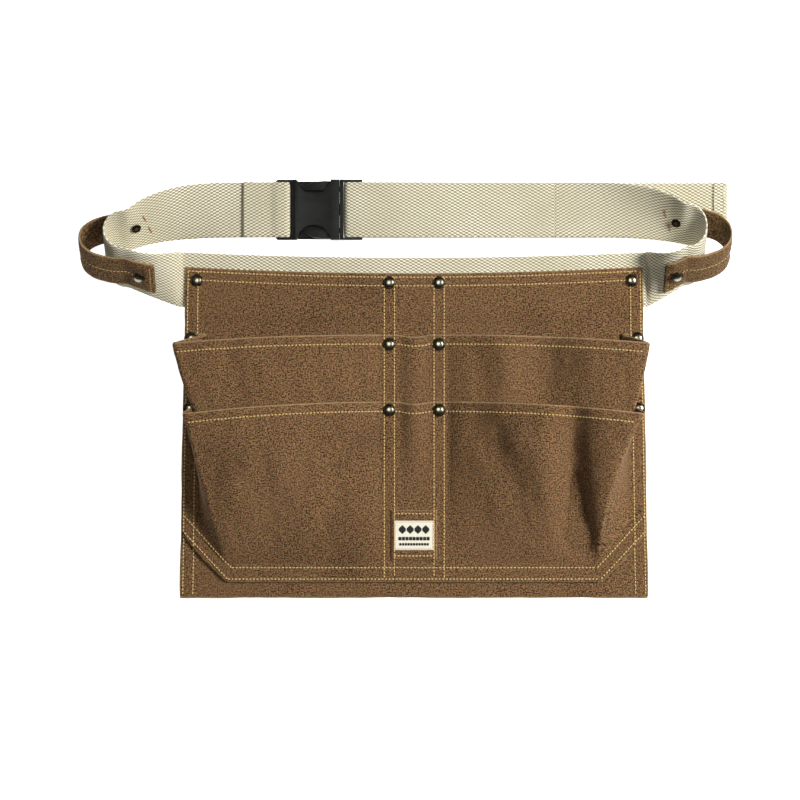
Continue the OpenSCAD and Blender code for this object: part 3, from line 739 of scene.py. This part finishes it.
class Side:
    """One bend of the belt, where it turns on its edge from the front run to the back run."""

    def __init__(self, sign, reach, half, mid_y, wide, low, inner, loop_out):
        self.sign, self.half, self.mid_y, self.wide, self.low = sign, half, mid_y, wide, low
        self.inner, self.arc_x, self.loop_out = inner, reach - half, loop_out

    def front(self, ax):
        t = float(clamp((ax - belt_start) / (self.arc_x - belt_start)))
        lean = LEAN * math.sin(math.pi / 2 * t ** 0.7)
        y = lerp(belt_y + belt_up, self.mid_y - self.wide, t * t)
        z = lerp(WEB_T / 2, self.low, ease(t)) + WEB_W / 2 * math.sin(math.radians(lean))
        return [self.sign * ax, y, z, lean]

    def back(self, ax):
        t = float(clamp((ax - self.inner) / (self.arc_x - self.inner)))
        lean = LEAN * t * t
        z = lerp(buckle_z, self.low, ease(t)) + WEB_W / 2 * math.sin(math.radians(lean))
        return [self.sign * ax, lerp(back_y, self.mid_y + self.wide, t ** 4), z, lean]

    def arc(self, a):
        a = math.radians(a)
        return [self.sign * (self.arc_x + self.half * math.sin(a)), self.mid_y - self.wide * math.cos(a),
                self.low + WEB_W / 2 * math.sin(math.radians(LEAN)), LEAN]

    def front_run(self):
        return [self.front(lerp(belt_start, self.arc_x, k / FRONT_STEPS)) for k in range(FRONT_STEPS + 1)]

    def back_run(self):
        return [self.back(lerp(self.arc_x, self.inner, k / BACK_STEPS)) for k in range(BACK_STEPS + 1)]

    def route(self):
        bend = [self.arc(180 * k / ARC_STEPS) for k in range(1, ARC_STEPS)]
        return self.front_run() + bend + self.back_run()

    def loop(self):
        w = WEB_W / 2 * math.sin(math.radians(LEAN)) + self.low
        swing = []
        for k in range(1, 10):
            a = math.radians(18 * k)
            out = self.arc_x + self.loop_out * 0.72 + (self.half + self.loop_out * 0.28) * math.sin(a)
            out -= self.loop_out * 0.72 * abs(math.cos(a)) ** 3
            y = self.mid_y - (self.wide + 2.5 * math.sin(a)) * math.cos(a)
            swing.append([self.sign * out, y, w, LEAN])
        return self.front_run()[FRONT_STEPS - 4:] + swing + self.back_run()[:3]


left = Side(-1, 283, 19, top_y + 16, 17, WEB_T / 2 + 0.1, fold_bar + 9, 19)
right = Side(1, 266, 18, top_y + 19.5, 19.5, WEB_T * 1.5 + 1, slack_from, 19.5)
loop_gap, plate_lift = 1.3, 2.3
loop_lift = WEB_T / 2 + LOOP_T / 2 + loop_gap


class Strap:
    """A flat strap along stations [x, y, z, lean]; its width leans up from the Y axis."""

    def __init__(self, stations, width, thick, lift=0.0, spare=0, step=1.25):
        stations = np.array(stations, float)
        s = np.concatenate([[0], np.cumsum(np.linalg.norm(np.diff(stations[:, :3], axis=0), axis=1))])
        slope = np.gradient(stations, s, axis=0)
        step_up = np.diff(stations, axis=0) / np.diff(s)[:, None]
        before, after = step_up[:-1, 2:], step_up[1:, 2:]
        calm = np.where(before * after > 0, 2 * before * after / (before + after + 1e-12), 0)
        slope[1:-1, 2:] = calm  # height and lean never swing past their stations
        fine = np.arange(s[spare], s[-1 - spare] + 1e-6, 0.25)
        k = np.clip(np.searchsorted(s, fine, "right") - 1, 0, len(s) - 2)
        h = (s[k + 1] - s[k])[:, None]
        t = ((fine - s[k]) / h[:, 0])[:, None]
        curve = ((2 * t ** 3 - 3 * t ** 2 + 1) * stations[k] + (t ** 3 - 2 * t ** 2 + t) * h * slope[k]
                 + (3 * t ** 2 - 2 * t ** 3) * stations[k + 1] + (t ** 3 - t ** 2) * h * slope[k + 1])
        run = np.concatenate([[0], np.cumsum(np.linalg.norm(np.diff(curve[:, :3], axis=0), axis=1))])
        self.length = run[-1]
        self.s = np.linspace(0, self.length, max(8, int(self.length / step)))
        path = np.stack([np.interp(self.s, run, curve[:, i]) for i in range(4)], -1)
        self.at = path[:, :3]
        lean = np.radians(path[:, 3])
        self.across = np.stack([lean * 0, np.cos(lean), np.sin(lean)], -1)
        heading = unit(np.gradient(self.at, axis=0))
        self.out = unit(np.cross(heading, self.across))
        self.width, self.thick, self.lift = width, thick, lift

    def near(self, x, y, low, high):
        """How far along the strap lies closest to a place in plan, between two shares of its length."""
        d = np.abs(self.at[:, 0] - x) + np.abs(self.at[:, 1] - y)
        d = np.where((self.s < low * self.length) | (self.s > high * self.length), 1e9, d)
        return self.s[int(np.argmin(d))]

    def spot(self, s, v, face=1, proud=0.0):
        """A point on a face of the strap, v from its middle line, and the way that face looks."""
        at, across, out = ([np.interp(s, self.s, a[:, i]) for i in range(3)] for a in
                           (self.at, self.across, self.out))
        out = unit(np.array(out))
        reach = self.lift + face * (self.thick / 2 + proud)
        return np.array(at) + v * np.array(across) + out * reach, out * face

    def line(self, places, face=1, proud=0.0):
        spots = [self.spot(s, v, face, proud) for s, v in places]
        return [p for p, _ in spots], [n for _, n in spots]

    def make(self, name, finish, columns=17, scallop=0.0, pitch=2.5, shift=0.0, swell=None, wear=None):
        e = np.sin(np.linspace(-1, 1, columns) * math.pi / 2) * 0.35 + np.linspace(-1, 1, columns) * 0.65
        s, e = np.meshgrid(self.s, e, indexing="ij")
        notch = scallop * np.sin(s * TAU / pitch) * np.abs(e) ** 10
        v = e * self.width / 2 + np.sign(e) * notch
        half = self.thick / 2 * (1 - 0.42 * np.abs(e) ** 9)
        wave = 0.16 * billow(s, v, 3 + shift, 24, 0.8, 2)
        middle = self.at[:, None] + v[..., None] * self.across[:, None]
        out = self.out[:, None]
        upper, lower = (0, 0) if swell is None else swell(s, v)
        top = middle + (self.lift + half + wave + upper)[..., None] * out
        under = middle + (self.lift - half + wave - lower)[..., None] * out
        worn = 0.5 * np.abs(e) ** 14 if wear is None else wear(s, e)
        return slab(name, top, under, finish, np.stack([s + shift * 97, v], -1), worn)


def front_middle():
    xs = [lerp(-belt_start, belt_start, k / 14) for k in range(1, 14)]
    return [[x, belt_y + belt_up * (x / belt_start) ** 2, WEB_T / 2, 0] for x in xs]


def wrap(bar, start, end, lead, tail, slackness=0.0):
    """A strap's stations round a bar, slackness wider than snug, and the stations before and after it."""
    turn = []
    for k in range(11):
        a = math.radians(lerp(start, end, k / 10))
        turn.append([bar + (wrap_r + slackness) * math.cos(a), back_y, buckle_z + wrap_r * math.sin(a), 0])
    return lead + turn + tail


def fold_stations():
    over = WEB_T + SEWN_GAP + 0.5
    tail = [[-fold_bar - 6, back_y, buckle_z + wrap_r, 0],
            [-fold_bar - 14, back_y, left.back(fold_bar + 14)[2] + over, 0]]
    for x in (fold_bar + 22, fold_bar + 30, fold_bar + 38):
        at = left.back(x)
        tail.append([-x, at[1], at[2] + over, at[3]])
    lead = [[-fold_bar - 7.6, back_y, buckle_z - 0.6, 0],
            [-fold_bar - 4, back_y, buckle_z - wrap_r * 0.75, 0]]
    return wrap(-fold_bar, -90, 90, lead, tail)


def slack_stations():
    start = right.back(slack_from)
    tail = [[x, back_y, lerp(buckle_z + wrap_r + 0.2, start[2], ease(float(clamp((x + 46) / 150)))), 0]
            for x in np.arange(-slack_bar + 14, slack_from - 8, 22.0)]
    tail.append([slack_from - 0.05] + start[1:])
    return wrap(-slack_bar, 270, 90, [[-slack_bar + 9, back_y, buckle_z - wrap_r, 0]], tail,
                BAR_EASE)


def tail_stations():
    low = WEB_T / 2 + 0.05
    flat = [[x, back_y, low, 0] for x in np.linspace(-slack_bar + 26, 289, 9)]
    return [[-slack_bar + 9.4, back_y, buckle_z - wrap_r, 0]] + flat


def end_fold(s, v, start, end, amount):
    """A hem turned over across a strap, with a soft step down where it stops."""
    return amount * ease(clamp((s - start) / 0.9)) * ease(clamp((end - s) / 0.9)) + 0 * v


# ---- rivets ----


def seat(point, normal):
    """The axes of a rivet at a point: two across it and its own."""
    z = unit(np.array(normal, float))
    x = unit(np.cross([0.0, 1.0, 0.0], z))
    return np.array(point, float), x, np.cross(z, x), z


# Turned outlines as radius, height and how rubbed the metal is there; on a cap's dome the rubbed share also
# paints part of its highlight.
CAP = [(0.0, 2.4, 1.0), (1.2, 2.36, 1.0), (2.4, 2.2, 0.95), (3.4, 1.92, 0.8), (4.15, 1.6, 0.5),
       (4.5, 1.36, 0.1), (4.62, 1.26, 0.0), (4.8, 1.3, 0.1), (5.15, 1.36, 0.45), (5.6, 1.2, 0.55),
       (5.92, 0.82, 0.35), (6.0, 0.45, 0.1), (5.9, 0.12, 0.0), (5.6, 0.0, 0.0), (3.0, 0.0, 0.0),
       (0.0, 0.0, 0.0)]
PLATE = [(0.0, -0.02, 0.7), (1.5, 0.0, 0.7), (1.95, 0.1, 0.1), (2.3, 0.04, 0.5), (4.0, 0.03, 0.55),
         (4.35, 0.16, 0.5), (4.5, 0.42, 0.3), (4.38, 0.72, 0.1), (4.1, 0.8, 0.0), (1.8, 0.8, 0.0)]


def turned(name, profile, seats, finish, turns=36):
    """The same turned shape on each seat; the profile gives radius, height and how rubbed it is, which on the
    rivet caps also paints part of their highlight.
    """
    points, faces, cloth, wear = [], [], [], []
    for n, (at, x, y, z) in enumerate(seats):
        base = len(points)
        for r, h, high in profile:
            for k in range(turns):
                a = TAU * k / turns
                points.append(at + (x * math.cos(a) + y * math.sin(a)) * max(r, 0.01) + z * h)
                cloth.append((r * math.cos(a) + 40 * n, r * math.sin(a), h))
                wear.append(high)
        for j in range(len(profile) - 1):
            for k in range(turns):
                a, b = base + j * turns + k, base + j * turns + (k + 1) % turns
                faces.append((a, a + turns, b + turns, b))
        faces.append(tuple(base + k for k in range(turns)))
        last = base + (len(profile) - 1) * turns
        faces.append(tuple(last + k for k in range(turns - 1, -1, -1)))
    return piece(name, points, faces, finish, cloth, wear)


def set_rivets(name, seats, grips, caps_node, backs_node):
    """Caps on their seats, and behind each the plate and post that hold it; grip is the cloth between."""
    belongs(turned(name + "_caps", CAP, seats, rivet_metal), "apron", "rivet", caps_node)
    backs = []
    for k, ((at, x, y, z), grip) in enumerate(zip(seats, grips)):
        post = PLATE + [(1.8, grip - 0.02, 0.0), (0.0, grip - 0.02, 0.0)]
        backs.append(turned(f"{name}_back_{k + 1}", post, [(at - z * grip, x, y, z)], rivet_metal))
    for made in backs:
        belongs(made, "apron", "rivet")
    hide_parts(backs_node)


# ---- buckle ----


def moulded(name, node, body, bevel=0.55):
    """The buckle part's own shape with every moulded edge rounded."""
    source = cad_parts[node]
    made = bpy.data.objects.new(name, source.data.copy())
    bpy.context.scene.collection.objects.link(made)
    made.data.materials.clear()
    made.data.materials.append(plastic)
    weld = made.modifiers.new("weld", "WELD")
    weld.merge_threshold = 0.02 * MM
    flat = made.modifiers.new("flat", "DECIMATE")
    flat.decimate_type = "DISSOLVE"
    flat.angle_limit = math.radians(1.5)
    round_off = made.modifiers.new("edges", "BEVEL")
    round_off.width, round_off.segments = bevel * MM, 3
    round_off.limit_method, round_off.angle_limit = "ANGLE", math.radians(32)
    round_off.use_clamp_overlap, round_off.miter_outer = True, "MITER_ARC"
    smooth = made.modifiers.new("shading", "WEIGHTED_NORMAL")
    smooth.keep_sharp = True
    dg = bpy.context.evaluated_depsgraph_get()
    mesh = bpy.data.meshes.new_from_object(made.evaluated_get(dg))
    made.modifiers.clear()
    made.data = mesh
    mesh.polygons.foreach_set("use_smooth", [True] * len(mesh.polygons))
    return belongs(made, body, "buckle", node)


# ---- putting it together ----

panel = back_panel()
upper_tier, lower_tier = Pocket(False), Pocket(True)
upper = upper_tier.make("upper_pocket", "upper_pocket_left", "upper_pocket_slot", "upper_pocket_right")
lower = lower_tier.make("lower_pocket", "lower_pocket_left", "lower_pocket_slot", "lower_pocket_right")


def small_sheet(name, finish, width, height, base, thick, slot, node, wave=0.12, worn=0.8):
    """A flat piece sewn on at the middle; its turned-under edges are drawn as a thinner rounded rim, not
    folded.
    """
    xs = np.concatenate([[-1, -0.985, -0.96], np.linspace(-0.93, 0.93, 34), [0.96, 0.985, 1]]) * width / 2
    ys = np.concatenate([[1, 0.985, 0.96], np.linspace(0.93, -0.93, 30), [-0.96, -0.985, -1]]) * height / 2
    y, x = np.meshgrid(ys, xs, indexing="ij")
    edge = np.minimum(width / 2 - np.abs(x), height / 2 - np.abs(y))
    lift = wave * (1 + billow(x, y, 51, 9)) * clamp(edge / 4)
    under = np.stack([x, y + patch_y, x * 0 + base], -1)
    top = under + np.stack([x * 0, x * 0, thick * (1 - 0.35 * np.exp(-edge / 0.5)) + lift], -1)
    wear = worn * np.exp(-edge / 0.8)
    made = slab(name, top, under, finish, np.stack([x + 3100, y], -1), wear)
    declare(under)
    return belongs(made, "apron", slot, node)


patch = small_sheet("label_patch_cloth", canvas, PATCH_W, PATCH_H, 3 * layer, CANVAS, "canvas", "label_patch")
label = small_sheet("label_cloth", woven_label, LABEL_W, LABEL_H, 3 * layer + CANVAS + SEWN_GAP, LABEL_T,
                    "label", "label", 0.05, 0.5)

belt = Strap(left.route()[::-1] + front_middle() + right.route(), WEB_W, WEB_T)
belongs(belt.make("belt_webbing", webbing, scallop=SELVEDGE), "apron", "webbing", "webbing")

fold = Strap(fold_stations(), WEB_W, WEB_T, step=0.8)
hem_at = fold.length - FOLD_HEM
fold_piece = fold.make("fold_webbing", webbing, scallop=SELVEDGE, shift=1.0,
                       swell=lambda s, v: (end_fold(s, v, hem_at, fold.length + 9, 0.8), 0 * s))
belongs(fold_piece, "apron", "webbing", "webbing_fold")

slack = Strap(slack_stations(), WEB_W, WEB_T, step=0.9)


def pressed(s, v):
    """How far each face draws in where the strap is pulled tight round the plug's bar."""
    thin = -BAR_PRESS * ease(clamp((26 - s) / 6)) + 0 * v
    return thin, thin


slack_piece = slack.make("slack_webbing", webbing, scallop=SELVEDGE, shift=2.0, swell=pressed)
belongs(slack_piece, "apron", "webbing", "webbing_slack")

tail = Strap(tail_stations(), WEB_W, WEB_T)
tail_hem = tail.length - TAIL_HEM
tail_piece = tail.make("tail_webbing", webbing, scallop=SELVEDGE, shift=3.0,
                       swell=lambda s, v: (end_fold(s, v, tail_hem, tail.length + 9, 1.5), 0 * s))
belongs(tail_piece, "free_end", "webbing", "webbing_tail")

gold_thread, rust_thread, cream_thread, tail_thread = Thread(), Thread(), Thread(), Thread()
for side, name in ((left, "left"), (right, "right")):
    stations = side.loop()[::-1] if side is left else side.loop()
    loop = Strap(stations, LOOP_W, LOOP_T, loop_lift, 1, 1.0)

    def puff(s, v, loop=loop):
        turned_end = 0.55 * (ease(clamp((9 - s) / 1.2)) + ease(clamp((s - loop.length + 9) / 1.2)))
        channel = 0.4 * np.exp(-(v / 1.3) ** 2) + 0.3 * np.exp(-((np.abs(v) - 13.6) / 1.0) ** 2)
        soft = 0.3 * billow(s, v, 61, 9)
        return turned_end - channel + soft, 0.25 * billow(s, v, 63, 9) - channel * 0.5

    def rubbed(s, e):
        return 0.85 * np.abs(e) ** 16 + 0.3 * np.exp(-((np.abs(e) - 0.86) / 0.08) ** 2)

    made = loop.make("loop_" + name, strap_canvas, 25, 0.12, 3.0, 4.0 + side.sign, puff, rubbed)
    belongs(made, "apron", "canvas", "hammer_loop_" + name)
    gold_thread.row(*loop.line([(s, 0) for s in np.arange(6, loop.length - 6, 1.0)], 1, -0.3), pitch=3.4,
                    radius=0.3)
    for s in (3.2, loop.length - 3.2):
        gold_thread.row(*loop.line([(s, v) for v in np.linspace(-14, 14, 20)], 1, 0.3), pitch=2.6, length=2.0,
                        radius=0.32)

# rivets: through the columns, the panel's corners, the pocket sides and the loops
column_rows = [(top_y - 14, rise + CANVAS), (upper_y - 8.5, layer + CANVAS),
               (lower_y - 7.3, 2 * layer + CANVAS)]
side_rows = [(upper_y - 3, layer + CANVAS), (lower_y - 6, 2 * layer + CANVAS)]
column_seats = [(s * COLUMN_X, y, z) for s in (-1, 1) for y, z in column_rows]
corner_seats = [(s * (PANEL_TOP - 10), top_y - 12, rise + CANVAS) for s in (-1, 1)]
side_seats = [(s * (half_width(y) - CAP_D / 2 + 0.5), y, z) for s in (-1, 1) for y, z in side_rows]


def loop_seats():
    for side in (left, right):
        for back in (False, True):
            run = side.back_run() if back else side.front_run()[::-1]
            first, second = run[0:2] if back else run[1:3]
            a, b = np.array(first[:3]), np.array(second[:3])
            lean = math.radians((first[3] + second[3]) / 2)
            across = np.array([0, math.cos(lean), math.sin(lean)])
            out = unit(np.cross(b - a, across))
            wanted = np.cross([-1.0 if back else 1.0, 0, 0], across)
            yield (a + b) / 2, out if out @ wanted > 0 else -out


def stood(spots):
    return [seat((x, y, z + SEWN_GAP), (0, 0, 1)) for x, y, z in spots], [z + SEWN_GAP for _, _, z in spots]


for name, spots in (("columns", column_seats), ("corners", corner_seats), ("sides", side_seats)):
    seats, grips = stood(spots)
    set_rivets("rivet_" + name, seats, grips, "rivet_caps_" + name, "rivet_backs_" + name)
reach = loop_lift + LOOP_T / 2 + plate_lift
held = [seat(p + z * (reach + SEWN_GAP), z) for p, z in loop_seats()]
set_rivets("rivet_loops", held, [reach + SEWN_GAP + WEB_T / 2 + plate_lift + PLATE_T] * 4, "rivet_caps_loops",
           "rivet_backs_loops")

# the sewing
cloth = surface_of(panel, upper, lower, patch)


def run_of(x0, y0, x1, y1, n=60):
    return [(lerp(x0, x1, k / n), lerp(y0, y1, k / n)) for k in range(n + 1)]


for down in (3.0, HEM):
    gold_thread.sew(cloth, [(x, top_edge(x) - down) for x in np.linspace(-PANEL_TOP + 2, PANEL_TOP - 2, 120)])
for sign in (-1, 1):
    for inset in SIDE_SEAMS:
        edge = [(sign * (half_width(y) - inset), y) for y in np.linspace(top_y - 3, -top_y + 2, 90)]
        gold_thread.sew(cloth, edge, top=9.5)
    for shift in COLUMN_SEAMS:
        x = sign * COLUMN_X + shift
        gold_thread.sew(cloth, run_of(x, top_edge(COLUMN_X) - 3, x, foot_y + 2))
    for inset in (2.6, 13.0):
        x0, y0 = PANEL_BOTTOM - CUT_X - inset * 0.35, foot_y + inset * 0.98
        x1, y1 = PANEL_BOTTOM - 1.5, foot_y + CUT_Y - 1.5 + inset * 1.45
        gold_thread.sew(cloth, run_of(sign * x0, y0, sign * x1, y1), top=9.5)
for up in FOOT_SEAMS:
    reach = PANEL_BOTTOM - CUT_X - up * 0.35
    gold_thread.sew(cloth, run_of(-reach, foot_y + up, reach, foot_y + up), top=9.5)
for tier, made in ((upper_tier, upper), (lower_tier, lower)):
    tree = surface_of(made)
    m = int(np.argmin(np.abs(tier.v - MOUTH_SEAM / (tier.mouth - foot_y))))
    row = tier.grid[m, tier.middle - tier.fold_at + 1:tier.middle + tier.fold_at]
    gold_thread.sew(tree, [(p[0], p[1]) for p in row])
for up in (PATCH_H / 2 - 3, -PATCH_H / 2 + 4):
    y = patch_y + up
    gold_thread.sew(cloth, run_of(-column_in - 5, y, column_in + 5, y, 20))

label_tree = surface_of(label)
w, h, y = LABEL_W / 2 - 1.1, LABEL_H / 2 - 1.1, patch_y
border = run_of(-w, y + h, w, y + h) + run_of(w, y + h, w, y - h) + run_of(w, y - h, -w, y - h)
gold_thread.sew(label_tree, border + run_of(-w, y - h, -w, y + h), pitch=1.9, length=1.5, radius=0.3)

# the label's plain woven motif: a row of lozenges over two bands of bars
motif = Thread()


def satin(x, y, width, height, slope=0.0):
    """A block of close upright satin stitches; slope narrows it to a lozenge."""
    count = max(2, int(width / 0.42))
    for k in range(count):
        t = (k + 0.5) / count
        tall = height * (1 - slope * abs(2 * t - 1))
        hit, normal = drop(label_tree, x + (t - 0.5) * width, y)
        if hit is not None and tall > 0.4:
            motif.stitch(hit, np.array([0.0, 1.0, 0.0]), normal, tall, 0.33)


# each row of blocks: how many, the first one's place, their pitch, height above the middle, and shape
for count, first, pitch, up, shape in ((4, -10.8, 7.2, 5.4, (6.2, 9.0, 0.7)),
                                       (9, -13.0, 3.25, -3.0, (2.6, 3.6)),
                                       (11, -12.6, 2.52, -8.2, (1.9, 2.6))):
    for k in range(count):
        satin(first + pitch * k, y + up, *shape)
motif.piece("label_motif", ink)

# the belt's own sewing: tacks at the loops, hems at both strap ends, two rows down the hidden stretch
for side, from_share, to_share in ((left, 0.0, 0.4), (right, 0.6, 1.0)):
    x = side.back(lerp(side.arc_x, side.inner, 1.15 / BACK_STEPS))[0]
    s = belt.near(x, back_y, from_share, to_share)
    for low, high in ((-13, -5), (1, 9)):
        places = [(s + 0.35 * v, v) for v in np.linspace(low, high, 12)]
        rust_thread.row(*belt.line(places, -1), pitch=1.7, length=2.4, radius=0.65)
for v in (-22, 22):
    cream_thread.row(*fold.line([(s, v) for s in np.arange(fold.length - 40, fold.length - 2, 1.0)], 1, 0.5))
for s in (fold.length - 2.5, hem_at + 1.5):
    cream_thread.row(*fold.line([(s, v) for v in np.linspace(-22, 22, 40)], 1, 0.75))
for s in (tail.length - 2.5, tail_hem + 1.5):
    tail_thread.row(*tail.line([(s, v) for v in np.linspace(-23, 23, 40)], 1, 1.4))
start, end = belt.near(-200, belt_y, 0.3, 0.5), belt.near(200, belt_y, 0.5, 0.7)
for v in (-20, 12):
    gold_thread.row(*belt.line([(s, v) for s in np.arange(start, end, 2.0)], -1))

gold_thread.piece("golden_stitching", gold)
rust_thread.piece("rust_stitching", rust)
cream_thread.piece("cream_stitching", cream)
tail_thread.piece("tail_hem_stitching", cream, "free_end")


def web(name, x0, x1, y0, y1, z0, z1):
    """A thin moulded web between the buckle's walls, domed a little so that it catches the light."""
    xs, ys = np.linspace(x0, x1, 26), np.linspace(y0, y1, 34)
    y, x = np.meshgrid(ys, xs, indexing="ij")
    edge = np.minimum(np.minimum(x - x0, x1 - x), np.minimum(y - y0, y1 - y))
    under = np.stack([x - BUCKLE_X, y + back_y, x * 0 + z0], -1)
    top = under + np.stack([x * 0, x * 0, (z1 - z0) * (0.7 + 0.3 * ease(clamp(edge / 2.5)))], -1)
    made = slab(name, top, under, plastic, np.stack([x, y], -1))
    belongs(made, "apron", "buckle")


web("socket_tray", -SOCKET_LEN + 1, -1.2, -WEB_W / 2 - 1.5, WEB_W / 2 + 1.5, 0.75, 2.0)
web("socket_sill", -SOCKET_LEN - 6, -SOCKET_LEN + 0.6, -WEB_W / 2 - 1.2, WEB_W / 2 + 1.2, 0.5, 1.45)
moulded("socket", "buckle_socket", "apron")
moulded("plug", "buckle_plug", "plug", 0.25)
for k in ("upper", "lower"):
    moulded("prong_" + k, "buckle_prong_" + k, "prong_" + k, 0.4)

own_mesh(slack_piece)

# ---- floor, light and camera ----


def floor():
    ground = bpy.data.meshes.new("floor")
    n, size = 24, 4.0
    grid = [((i / n - 0.5) * 2 * size, (j / n - 0.5) * 2 * size, -0.0004)
            for j in range(n + 1) for i in range(n + 1)]
    corners = [j * (n + 1) + i for j in range(n) for i in range(n)]
    quads = [(c, c + 1, c + n + 2, c + n + 1) for c in corners]
    ground.from_pydata(grid, [], quads)
    f = Finish("white lit table", Roughness=0.9, Specular_IOR_Level=0.1, Emission_Strength=0.92,
               Emission_Color=(1, 1, 1, 1))
    place = f.node("TexCoord", output="Object")
    fine = f.grain(place, 0.004, 3.0)
    white = f.blend((0.93, 0.93, 0.93, 1), (0.96, 0.96, 0.96, 1), fine)
    ground.materials.append(f.finish(white, 0.9, fine, 0.02, 0.3))
    made = bpy.data.objects.new("floor", ground)
    bpy.context.scene.collection.objects.link(made)
    made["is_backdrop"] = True


def lamp(name, at, aim, size, power, color=(1, 1, 1)):
    light = bpy.data.lights.new(name, "AREA")
    light.shape, light.size, light.energy, light.color = "DISK", size, power, color
    made = bpy.data.objects.new(name, light)
    made.location = at
    made.rotation_euler = (Vector(aim) - Vector(at)).to_track_quat("-Z", "Y").to_euler()
    bpy.context.scene.collection.objects.link(made)


floor()
lamp("window", (1.75, 0.42, 1.75), (0, 0, 0), 0.9, 92, (1, 0.985, 0.97))
lamp("overhead", (-0.15, 0.3, 2.7), (0, 0, 0), 1.1, 15, (1, 1, 1))

world = bpy.data.worlds.new("studio")
world.use_nodes = True
world.node_tree.nodes["Background"].inputs[0].default_value = (1, 1, 1, 1)
world.node_tree.nodes["Background"].inputs[1].default_value = 0.06
bpy.context.scene.world = world
bpy.context.scene.view_settings.view_transform = "Standard"

camera = bpy.data.cameras.new("camera")
camera.sensor_width = 36
DISTANCE, VIEW = 2.2, 0.741
camera.lens = camera.sensor_width * DISTANCE / VIEW
eye = bpy.data.objects.new("camera", camera)
eye.location = (-0.013, 0.030, DISTANCE)
bpy.context.scene.collection.objects.link(eye)
bpy.context.scene.camera = eye

low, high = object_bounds()
{"cad": [list(c) for c in cad_box], "visual": [list(low), list(high)]}
